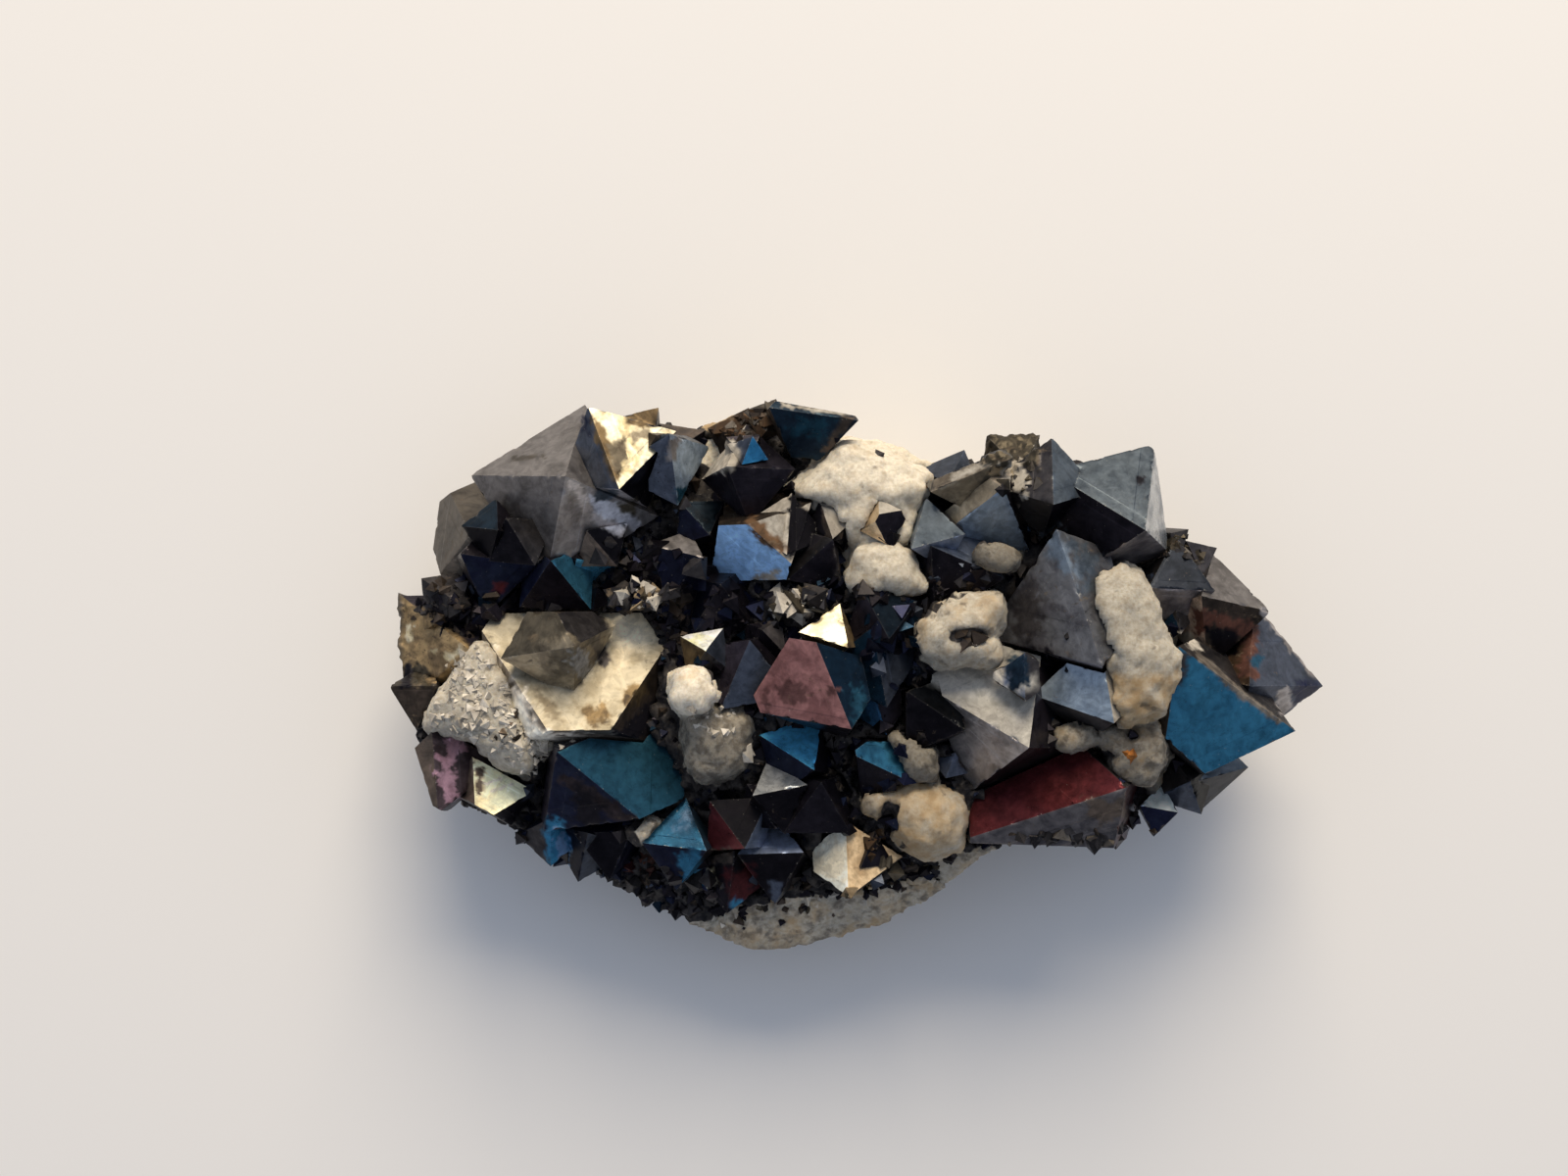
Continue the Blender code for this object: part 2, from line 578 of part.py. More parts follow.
rock = rock_body()
combine(rock, [mass_body(name, mass) for name, mass in MASSES.items()], "UNION")
sockets = [cluster(f"{name}_socket", crystals, SOCKET_GAP) for name, crystals in CLUSTERS.items()]
for name, broken_away in BARED.items():
    bared = dict(CLUSTERS[name][0], front=-broken_away)
    sockets.append(cluster(f"{name}_bared", [bared], SOCKET_GAP))
combine(rock, sockets, "DIFFERENCE")
largest_body(rock)
rock.name = "feldspar_rock"
finish(rock, *ROCK_FINISH, 0.0)

for name, crystals in CLUSTERS.items():
    group = cluster(name, crystals)
    earlier = STOPPED_BY.get(name, [])
    if earlier:
        rooms = [cluster(f"{other}_room", CLUSTERS[other], SOCKET_GAP) for other in earlier]
        combine(group, rooms, "DIFFERENCE")
        largest_body(group)
    finish(group, *FINISHES[name], 1.0)
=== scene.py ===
import math
import random

import bmesh
import bpy
from mathutils import Color, Matrix, Vector, noise
from mathutils.bvhtree import BVHTree


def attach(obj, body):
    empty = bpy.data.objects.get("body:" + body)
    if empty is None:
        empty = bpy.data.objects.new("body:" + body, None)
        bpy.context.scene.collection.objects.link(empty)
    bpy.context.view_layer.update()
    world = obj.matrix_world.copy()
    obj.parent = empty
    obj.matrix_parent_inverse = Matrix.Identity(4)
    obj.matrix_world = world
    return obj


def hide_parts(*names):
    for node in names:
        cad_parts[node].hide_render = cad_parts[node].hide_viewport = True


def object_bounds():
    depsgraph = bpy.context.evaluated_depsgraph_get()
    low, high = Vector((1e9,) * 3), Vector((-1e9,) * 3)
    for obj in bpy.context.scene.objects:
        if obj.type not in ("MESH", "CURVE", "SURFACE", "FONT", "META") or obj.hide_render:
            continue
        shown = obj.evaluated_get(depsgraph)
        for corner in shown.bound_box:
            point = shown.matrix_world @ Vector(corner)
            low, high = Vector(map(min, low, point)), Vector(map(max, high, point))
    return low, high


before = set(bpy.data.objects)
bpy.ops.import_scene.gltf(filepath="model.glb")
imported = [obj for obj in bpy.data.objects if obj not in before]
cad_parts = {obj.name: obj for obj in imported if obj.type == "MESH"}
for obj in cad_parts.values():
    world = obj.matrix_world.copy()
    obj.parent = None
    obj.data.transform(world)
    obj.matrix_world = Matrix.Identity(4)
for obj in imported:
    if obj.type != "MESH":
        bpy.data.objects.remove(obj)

cad_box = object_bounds()

# The feldspar rock
# One lump of granular feldspar: broken off pale below, dark and crumbly between the crystals,
# with sugary white and tan masses standing up among them. Each crystal grew in a socket of it.
MM = 0.001
ROCK_VOXEL = 0.31 * MM
SOCKET_FILL = 0.32 * MM
BASE_HEIGHT = 0.4 * MM
SIDE_HEIGHT = 6.5 * MM

# Its lumps, broken grains, cracks, grit and sugar-like crust
LUMP_SIZE = 2.6 * MM
LUMP_HEIGHT = 0.32 * MM
FINER_AND_FINER = (0.7, 2.2, 3)
GRAIN_SIZE = 0.8 * MM
PALE_GRAIN_STEP = 0.06 * MM
DARK_GRAIN_STEP = 0.42 * MM
GRAIN_HEIGHTS, GRAIN_TILTS = 7.3, 3.1
MIDDLE_GRAIN = 0.4
CRACK_WIDTH = 0.14
CRACK_DEPTH = 0.14 * MM
CRACKS_LOST_IF_PALE = 0.75
GRIT_SIZE = 0.45 * MM
GRIT_HEIGHT = 0.08
SUGAR_SIZE = 1.2 * MM
FINE_SUGAR_SIZE = 0.4 * SUGAR_SIZE
SUGAR_HEIGHT = 0.2 * MM
SUGAR_MIDDLE = 0.3

# A place on it is named by the point of the photograph where it is seen, from straight above
# and with the upper edge towards +Y
EYE = Vector((-5.29, 6.25, 177.0)) * MM
EYE_TO_MIDDLE = 163.0 * MM
PHOTO_WIDTH, PHOTO_HEIGHT = 1600, 1200
PHOTO_WIDTH_AT_MIDDLE = 117.65 * MM
PIXEL = PHOTO_WIDTH_AT_MIDDLE / PHOTO_WIDTH
PATCH_SOFT_EDGE = 3.5
PATCH_MARGIN = 3 * PATCH_SOFT_EDGE


def place_of(point):
    """The point of the photograph where a point of the specimen is seen."""
    spread = EYE_TO_MIDDLE / (EYE.z - point.z) / PIXEL
    return (
        0.5 * PHOTO_WIDTH + (point.x - EYE.x) * spread,
        0.5 * PHOTO_HEIGHT - (point.y - EYE.y) * spread,
    )


def patch(outline, soft=PATCH_SOFT_EDGE, **look):
    """An outlined patch of the surface, with the box round it that a point is tested by first."""
    across, down = zip(*outline)
    box = (min(across) - PATCH_MARGIN, min(down) - PATCH_MARGIN,
           max(across) + PATCH_MARGIN, max(down) + PATCH_MARGIN)
    return dict(outline=outline, box=box, soft=soft, **look)


# The pale masses: how tan, how dirty and how light each is
PALE_MASSES = {
    "top_white": patch([
        (830, 474), (850, 436), (905, 440), (950, 462), (972, 490), (950, 503), (938, 522),
        (936, 556), (915, 560), (890, 562), (862, 556), (842, 548), (836, 520), (812, 508),
        (803, 498), (820, 485)], tan=0.15, dirt=0.0, tone=0.8),
    "white_block": patch([
        (862, 550), (882, 544), (912, 550), (938, 546), (948, 602), (925, 608), (900, 602),
        (880, 608), (862, 592)], tan=0.2, dirt=0.05, tone=0.66),
    "left_white": patch([
        (472, 664), (500, 653), (520, 685), (540, 722), (556, 745), (592, 752), (590, 764),
        (545, 774), (540, 792), (505, 784), (482, 758), (445, 750), (430, 742), (436, 718),
        (452, 700), (468, 682)], tan=0.05, dirt=0.2, tone=0.66),
    "middle_nugget": patch([
        (684, 688), (705, 680), (724, 688), (730, 708), (720, 728), (700, 732),
        (684, 718)], tan=0.2, dirt=0.0, tone=0.95),
    "middle_white": patch([
        (700, 728), (725, 718), (748, 718), (764, 735), (764, 765), (754, 792), (735, 800),
        (713, 797), (700, 780), (697, 755)], tan=0.0, dirt=0.6, tone=0.46),
    "cream": patch([
        (938, 640), (962, 618), (995, 604), (1024, 606), (1028, 630), (1017, 650), (1026, 672),
        (1010, 686), (985, 682), (960, 680), (940, 664)], tan=0.35, dirt=0.15, tone=0.58),
    "vein": patch([
        (1108, 612), (1118, 588), (1150, 578), (1168, 582), (1187, 618), (1198, 655), (1209, 672),
        (1203, 690), (1150, 690), (1130, 680), (1123, 650),
        (1112, 636)], tan=0.15, dirt=0.0, tone=0.54, soft=10),
    "tan_end_of_the_vein": patch([
        (1130, 672), (1205, 676), (1206, 692), (1196, 712), (1186, 732), (1150, 742), (1130, 738),
        (1136, 710)], tan=0.8, dirt=0.0, tone=0.6, soft=14),
    "knobs_below_the_vein": patch([
        (1126, 742), (1150, 738), (1180, 733), (1199, 745), (1195, 778), (1178, 802), (1152, 806),
        (1134, 792), (1138, 770), (1124, 760)], tan=0.3, dirt=0.5, tone=0.4),
    "tan_knob": patch([
        (906, 806), (930, 798), (960, 801), (984, 817), (992, 842), (980, 870), (955, 880),
        (930, 874), (910, 854), (903, 830)], tan=0.75, dirt=0.0, tone=0.58),
    "small_tan_knob": patch([
        (876, 810), (900, 800), (917, 810), (914, 832), (898, 838),
        (882, 832)], tan=0.8, dirt=0.3, tone=0.6),
    "tan_strip": patch([
        (860, 868), (880, 850), (895, 862), (900, 885), (902, 907), (880, 917),
        (864, 907)], tan=0.75, dirt=0.15, tone=0.9),
    "pinkish": patch([
        (906, 750), (930, 746), (950, 760), (962, 785), (957, 802), (930, 800),
        (913, 782)], tan=0.0, dirt=0.4, tone=0.27),
    "beige_chip": patch([
        (996, 559), (1020, 555), (1044, 564), (1040, 580), (1012, 580),
        (998, 573)], tan=0.3, dirt=0.4, tone=0.27),
    "beige_crumbs": patch([
        (1025, 478), (1045, 474), (1057, 490), (1050, 510),
        (1030, 508)], tan=0.4, dirt=0.2, tone=0.7),
    "white_nugget": patch([
        (716, 458), (735, 444), (754, 460), (754, 476), (735, 484),
        (718, 475)], tan=0.15, dirt=0.0, tone=0.9),
    "rusty_ridge": patch([
        (718, 438), (750, 424), (787, 420), (792, 440), (765, 448),
        (733, 448)], tan=1.0, dirt=0.45, tone=0.6),
    "white_under_teal": patch([
        (648, 848), (658, 838), (676, 834), (686, 846), (668, 856),
        (652, 857)], tan=0.15, dirt=0.3, tone=0.7),
    "grey_knob": patch([
        (1060, 752), (1090, 743), (1127, 740), (1130, 758), (1105, 767),
        (1073, 766)], tan=0.3, dirt=0.4, tone=0.42),
    "lower_rim": patch([
        (690, 948), (740, 930), (800, 915), (860, 912), (900, 905), (950, 885), (1000, 862),
        (1030, 868), (960, 920), (900, 950), (800, 980),
        (740, 970)], tan=0.45, dirt=0.4, tone=0.66),
}
ROCK_SIDE = dict(tan=0.35, dirt=0.35, tone=0.8)
SIDE_PALENESS = 0.8

# Hollows in them: how deep and how dark each is
HOLLOWS = [
    patch([(966, 649), (974, 642), (1004, 642), (1010, 649), (1000, 655),
        (972, 655)], depth=0.35 * MM, dark=0.95),
    patch([(898, 828), (906, 816), (919, 823), (917, 845), (904, 852)], depth=0.5 * MM, dark=0.95),
    patch([(1150, 714), (1166, 716), (1182, 722), (1166, 723)], depth=0.1 * MM, dark=0.0),
    patch([(1146, 746), (1158, 742), (1162, 754), (1152, 760)], depth=0.3 * MM, dark=0.2),
]
HOLLOW_WANDER = 0.4
# The creases between its sugary lumps are darkened: painted shade
CREASES = (0.02, 0.2)
CREASE_SHADE = 0.3

# How far the masses' outlines wander, and stray on the sides that the photograph doesn't show
WANDER_SIZE = 0.9 * MM
WANDER = 5.0
WANDER_UP = 0.3 * MM
STRAY_SIZE = 3 * MM
STRAY = 30
STRAY_HEIGHTS = (0.8 * SIDE_HEIGHT, 1.6 * SIDE_HEIGHT)
PALE_HEIGHTS = (0.6 * SIDE_HEIGHT, SIDE_HEIGHT)
ELSEWHERE = Vector((9, 0, 0))
UNDERSIDE = -0.9


def smooth(low, high, value):
    """0 below low, 1 above high, and a soft rise between."""
    part = min(1.0, max(0.0, (value - low) / (high - low)))
    return part * part * (3 - 2 * part)


def share_of(area, x, y, wander=0.0):
    """How much of a place belongs to a patch, from 0 outside it to 1 inside."""
    left, top, right, bottom = area["box"]
    if not (left < x < right and top < y < bottom):
        return 0.0
    outline = area["outline"]
    nearest = math.inf
    within = False
    for (ax, ay), (bx, by) in zip(outline, outline[1:] + outline[:1]):
        if (ay > y) != (by > y) and x < ax + (y - ay) * (bx - ax) / (by - ay):
            within = not within
        along = ((x - ax) * (bx - ax) + (y - ay) * (by - ay)) / ((bx - ax) ** 2 + (by - ay) ** 2)
        along = min(1.0, max(0.0, along))
        away = math.hypot(x - ax - along * (bx - ax), y - ay - along * (by - ay))
        nearest = min(nearest, away)
    reach = nearest if within else -nearest
    return smooth(-area["soft"], area["soft"], reach + wander)


def welded(node):
    """A CAD node's mesh with its corners joined, as a bmesh."""
    form = bmesh.new()
    form.from_mesh(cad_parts[node].data)
    bmesh.ops.remove_doubles(form, verts=form.verts, dist=0.001 * MM)
    return form


def remeshed(form, voxel):
    """A bmesh made again from even small squares."""
    mesh = bpy.data.meshes.new("lump")
    form.to_mesh(mesh)
    form.free()
    lump = bpy.data.objects.new("lump", mesh)
    bpy.context.scene.collection.objects.link(lump)
    step = lump.modifiers.new("even", "REMESH")
    step.mode = "VOXEL"
    step.voxel_size = voxel
    step.adaptivity = 0.0
    graph = bpy.context.evaluated_depsgraph_get()
    made = bpy.data.meshes.new_from_object(lump.evaluated_get(graph))
    bpy.data.objects.remove(lump)
    bpy.data.meshes.remove(mesh)
    form = bmesh.new()
    form.from_mesh(made)
    bpy.data.meshes.remove(made)
    return form


def sugary(point):
    """The rounded sugar-like lumps of the pale rock, from 0 in the creases between them."""
    lumps = abs(noise.noise(point / SUGAR_SIZE))
    return lumps + 0.5 * abs(noise.noise(point / FINE_SUGAR_SIZE))


def granular(point, pale):
    """How far the rock's surface stands out at a point: lumps, broken grains and cracks."""
    lump = noise.fractal(point / LUMP_SIZE, *FINER_AND_FINER) * LUMP_HEIGHT
    near, sites = noise.voronoi(point / GRAIN_SIZE)
    step = DARK_GRAIN_STEP + (PALE_GRAIN_STEP - DARK_GRAIN_STEP) * pale
    grain = (noise.cell(sites[0] * GRAIN_HEIGHTS) - MIDDLE_GRAIN) * step
    tilt = (point / GRAIN_SIZE - sites[0]).dot(noise.cell_vector(sites[0] * GRAIN_TILTS)) * step
    crack = (1 - smooth(0.0, CRACK_WIDTH, near[1] - near[0])) * CRACK_DEPTH
    crack *= 1 - CRACKS_LOST_IF_PALE * pale
    grit = noise.noise(point / GRIT_SIZE) * (GRIT_HEIGHT - 0.5 * GRIT_HEIGHT * pale) * MM
    sugar = (sugary(point) - SUGAR_MIDDLE) * SUGAR_HEIGHT * pale
    return lump + grain + tilt - crack + grit + sugar


def kept_inside(point):
    """Moves a point back to the box that the whole specimen fills."""
    for axis in range(3):
        point[axis] = min(max(point[axis], cad_box[0][axis]), cad_box[1][axis])


def shown(name, form, material, slot, *replaced):
    """Makes a piece of the specimen from a bmesh: one that rides on the root body."""
    mesh = bpy.data.meshes.new(name)
    form.to_mesh(mesh)
    form.free()
    mesh.materials.append(material)
    piece = bpy.data.objects.new(name, mesh)
    bpy.context.scene.collection.objects.link(piece)
    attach(piece, "root")
    if replaced:
        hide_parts(*replaced)


def srgb(red, green, blue):
    """A colour given as eight-bit screen values, as the linear one that a shader takes."""
    colour = Color((red / 255, green / 255, blue / 255)).from_srgb_to_scene_linear()
    return (colour.r, colour.g, colour.b, 1.0)


def feed(socket, value):
    """Gives a socket a number or a colour, or links another node's output to it."""
    if isinstance(value, bpy.types.NodeSocket):
        value.id_data.links.new(value, socket)
    else:
        socket.default_value = value


def node_of(tree, kind, **values):
    """Adds a shader node; values feed its inputs, or its settings where a name has no input."""
    made = tree.nodes.new(kind)
    for name, value in values.items():
        if name in made.inputs:
            feed(made.inputs[name], value)
        else:
            setattr(made, name, value)
    return made


def painted(tree, name, kind="Fac"):
    """A value or colour that the mesh carries."""
    return node_of(tree, "ShaderNodeAttribute", attribute_name=name).outputs[kind]


def speckle(place, size, detail=4.0, distortion=0.0, rough=0.6):
    """A noise pattern whose blotches are about size across."""
    return node_of(place.id_data, "ShaderNodeTexNoise", Vector=place, Scale=1 / size,
                   Detail=detail, Distortion=distortion, Roughness=rough).outputs["Fac"]


def band(value, low, high, to_low=0.0, to_high=1.0):
    """Stretches the part of a value between low and high, softly, to a new range."""
    limits = {"From Min": low, "From Max": high, "To Min": to_low, "To Max": to_high}
    made = node_of(value.id_data, "ShaderNodeMapRange", interpolation_type="SMOOTHSTEP",
                   Value=value, **limits)
    return made.outputs["Result"]


def maths(operation, value, other):
    """Two values worked into one; the second may be a number."""
    made = node_of(value.id_data, "ShaderNodeMath", operation=operation)
    feed(made.inputs[0], value)
    feed(made.inputs[1], other)
    return made.outputs["Value"]


def plus(value, other):
    """The sum of two values."""
    return maths("ADD", value, other)


def times(value, other):
    """Two values multiplied."""
    return maths("MULTIPLY", value, other)


def blended(share, first, second, kind="MIX"):
    """Two colours mixed; each is a colour or another node's output."""
    made = node_of(share.id_data, "ShaderNodeMix", data_type="RGBA", blend_type=kind)
    for at, value in ((0, share), (6, first), (7, second)):
        feed(made.inputs[at], value)
    return made.outputs[2]


def toned(colour, tone):
    """A colour made lighter or darker."""
    made = node_of(tone.id_data, "ShaderNodeVectorMath", operation="SCALE", Vector=colour,
                   Scale=tone)
    return made.outputs["Vector"]


def surfaced(name, dressing):
    """A material; dressing makes what feeds its shader from its tree and each point's place."""
    material = bpy.data.materials.new(name)
    material.use_nodes = True
    tree = material.node_tree
    place = node_of(tree, "ShaderNodeTexCoord").outputs["Object"]
    for socket, value in dressing(tree, place).items():
        feed(tree.nodes["Principled BSDF"].inputs[socket], value)
    return material


# The rock's own colours, a grime colour that also paints the shade in its creases, and the light
# that it lets in
BLOTCH_SIZE, CLUSTER_SIZE, SPECK_SIZE = 2.6 * MM, 0.9 * MM, 0.26 * MM
SUGAR_WHITE = (srgb(214, 203, 181), srgb(236, 227, 207))
CREASE_GREY = srgb(176, 160, 134)
FELDSPAR_TAN = (srgb(196, 166, 122), srgb(224, 200, 162))
GRIME_AND_SHADE = srgb(84, 71, 58)
CRUMB_BLACK = (srgb(22, 20, 23), srgb(60, 55, 51))
CRUMB_GLINT = srgb(126, 116, 104)
GLOW_SHARE = 0.35
GLOW_DEPTH = 0.6 * MM
GLOW_COLOURS = (1.0, 0.75, 0.5)


def feldspar(tree, place):
    """Sugary off-white to tan feldspar with dark iron-stained crumbs."""
    pale, tan, dirt, tone = (painted(tree, look) for look in ("pale", "tan", "dirt", "tone"))
    broad = speckle(place, BLOTCH_SIZE, distortion=0.6)
    middling = speckle(place, CLUSTER_SIZE, detail=6.0)
    fine = speckle(place, SPECK_SIZE, detail=3.0)
    white = blended(band(fine, 0.3, 0.7), *SUGAR_WHITE)
    white = blended(band(middling, 0.52, 0.3, 0.0, 0.6), white, CREASE_GREY)
    brown = blended(band(middling, 0.35, 0.65), *FELDSPAR_TAN)
    light = blended(band(plus(broad, times(tan, 0.5)), 0.62, 0.95), white, brown)
    # Grime darkens the rock where it is dirty and in its hollows, and paints shade into the creases
    # between its sugary lumps
    grime_and_shade = band(plus(middling, times(dirt, 0.4)), 0.58, 0.84)
    light = toned(blended(times(grime_and_shade, 0.7), light, GRIME_AND_SHADE), tone)
    crumbs = blended(band(middling, 0.4, 0.62), *CRUMB_BLACK)
    crumbs = blended(band(fine, 0.66, 0.74), crumbs, CRUMB_GLINT)
    pale_share = band(plus(pale, times(middling, 0.5)), 0.62, 0.82)
    bump = node_of(tree, "ShaderNodeBump", Strength=0.35, Distance=0.1 * MM, Height=fine)
    return {
        "Base Color": blended(pale_share, crumbs, light),
        "Roughness": band(fine, 0.3, 0.7, 0.95, 0.6),
        "Specular IOR Level": 0.35,
        "Subsurface Weight": times(pale_share, GLOW_SHARE),
        "Subsurface Radius": GLOW_COLOURS,
        "Subsurface Scale": GLOW_DEPTH,
        "Normal": bump.outputs["Normal"],
    }


rock = remeshed(welded("feldspar_rock"), ROCK_VOXEL)
pale_layer, tan_layer, dirt_layer, tone_layer = [
    rock.verts.layers.float.new(look) for look in ("pale", "tan", "dirt", "tone")]
rock.normal_update()
moves = []
for vert in rock.verts:
    x, y = place_of(vert.co)
    wander = noise.noise(vert.co / WANDER_SIZE) * WANDER
    stray = STRAY * (1 - smooth(*STRAY_HEIGHTS, vert.co.z))
    x += stray * noise.noise(vert.co / STRAY_SIZE)
    y += stray * noise.noise(vert.co / STRAY_SIZE + ELSEWHERE)
    side = 1 - smooth(*PALE_HEIGHTS, vert.co.z + WANDER_UP * wander)
    here = [(SIDE_PALENESS * side, ROCK_SIDE)]
    here += [(share_of(mass, x, y, wander), mass) for mass in PALE_MASSES.values()]
    pale = max(share for share, mass in here)
    whole = sum(share for share, mass in here) or 1.0
    tan, dirt, tone = [
        sum(share * mass[look] for share, mass in here) / whole for look in ("tan", "dirt", "tone")]
    sink = 0.0
    for hollow in HOLLOWS:
        share = share_of(hollow, x, y, HOLLOW_WANDER * wander)
        pale *= 1 - hollow["dark"] * share
        dirt += share
        sink += hollow["depth"] * share
    vert[pale_layer] = pale
    vert[tan_layer] = tan
    # The creases between the sugary lumps are darkened with painted shade
    vert[dirt_layer] = dirt + CREASE_SHADE * (1 - smooth(*CREASES, sugary(vert.co)))
    vert[tone_layer] = tone
    move = Vector()
    if vert.co.z > BASE_HEIGHT or vert.normal.z > UNDERSIDE:
        move = vert.normal * (SOCKET_FILL + granular(vert.co, pale) - sink)
    moves.append(move)
for vert, move in zip(rock.verts, moves):
    vert.co += move
    kept_inside(vert.co)
for face in rock.faces:
    face.smooth = True
rock_skin = BVHTree.FromBMesh(rock)
shown("rock", rock, surfaced("feldspar", feldspar), "pale_feldspar_rock", "feldspar_rock")

# The big grey crystals
# Octahedral magnetite at the upper left, lilac grey with faint growth steps, with a face like
# a pale gold mirror beside it and smaller dark crystals grown through its lower side.

# How finely its mesh is split, and which facets lie in one plane or meet at a sharp edge
WELL_SPLIT_EDGE = 0.3 * MM
BURIED_EDGE = 2 * MM
LONGEST_EDGE = 8 * MM
BURIED_GAP = 0.42 * MM
FLAT = math.radians(0.6)
SAME_TILT = 0.9995
SAME_PLANE = 0.03 * MM
SHARP_EDGE = 0.3

# Its faintly hilly faces, nicked edges, growth steps and striations
HILL_SIZE = 2.6 * MM
HILL_HEIGHT = 0.012 * MM
NICK_SIZE = 0.7 * MM
NICK_DEPTH = 0.36 * MM
UNNICKED = 0.15
BROAD_FACET = 12 * MM * MM
STEPPED_FACET = 1.5 * MM * MM
STEP_WIDTH = 0.1 * MM
STEP_HEIGHTS = (0.008 * MM, 0.024 * MM)
STEPS_A_SIDE = ((0, 0, 1), (0, 1, 1))
STEP_SPREAD = (0.1, 0.95)
STRIATIONS = 11
STRIATION_SPREAD = (-0.6, 0.6)
STRIATION_HEIGHTS = (0.015 * MM, 0.04 * MM)
STEPPED_LEAN = -0.2

# Its ragged marks, rough crusts and uneven tones
RAGGED_SIZE = 0.7 * MM
FAINT = 0.02
UPWARD = 0.02
CRUSTED_LEAN = -0.4
CRUST_HEIGHT, CRUST_GRIT = 0.65, 0.7
TONES = (0.94, 1.06)
# The tarnish look carries each facet's colour, and with it the painted light that some facets and
# marks are given
LOOKS = ("tarnish", "cloud", "surface")


def tarnish(colour, cloud, gloss=0.34, stained=0.1, metal=0.6):
    """A finish of magnetite: its colour, the one it clouds into, roughness, stains and metal."""
    return dict(colour=srgb(*colour), cloud=srgb(*cloud), surface=(gloss, metal, stained))


LILAC_GREY = tarnish((118, 114, 112), (92, 88, 86), 0.36, 0.15)
WARM_GREY = tarnish((100, 93, 84), (76, 70, 63), 0.4, 0.25)
BROWN_GREY = tarnish((76, 66, 58), (54, 48, 43), 0.42, 0.3)
DARK_GREY = tarnish((64, 61, 61), (46, 44, 46), 0.36, 0.2)
IRON_BLACK = tarnish((33, 30, 36), (22, 20, 26), 0.32, 0.1)
BLUE_BLACK = tarnish((24, 27, 46), (31, 36, 52), 0.32, 0.1)
DEEP_TEAL = tarnish((28, 60, 74), (24, 52, 65), 0.3, 0.05)
TEAL_BLACK = tarnish((26, 40, 52), (18, 28, 38), 0.32, 0.05)
BRIGHT_GOLD = tarnish((250, 240, 208), (214, 196, 152), 0.34, 0.2, metal=0.4)
BRONZE = tarnish((116, 98, 70), (74, 62, 46), 0.45, 0.35)
OLIVE_GREY = tarnish((86, 79, 66), (66, 60, 50), 0.4, 0.3)
DARK_RED = tarnish((62, 25, 27), (50, 20, 22), 0.32, 0.05)
SLATE_BLUE = tarnish((64, 70, 82), (50, 56, 66), 0.34, 0.15)
STEEL_BLUE = tarnish((98, 108, 117), (80, 90, 100), 0.34, 0.1)
# A diffuse pale grey, used to paint the big grey crystal's bands brighter than their own colour:
# painted highlight
PALE_GREY_AND_HIGHLIGHT = tarnish((186, 186, 190), (150, 150, 156), 0.5, 0.1, metal=0.0)

# The clouds, smudges, stains, pits, dust and rubbed edges of every finish; the edges' lighter line
# is partly rubbed wear and partly a painted highlight
CLOUD_SIZE, SMUDGE_SIZE, STREAK_SIZE = 2.2 * MM, 0.7 * MM, 1.2 * MM
STAIN_SIZE, PIT_SIZE = 1.5 * MM, 0.2 * MM
PIT_BLACK = srgb(38, 34, 34)
STAIN_BROWN = (srgb(64, 54, 44), srgb(108, 94, 76))
DUST_GREY = srgb(190, 184, 172)
RUBBED_AND_LIT_EDGE_GREY = srgb(150, 146, 140)
DUST_SHARE, RUBBED_AND_LIT_EDGE_SHARE = 0.35, 0.05
METAL_LOST, ROUGHNESS_GAINED = 0.7, 0.25


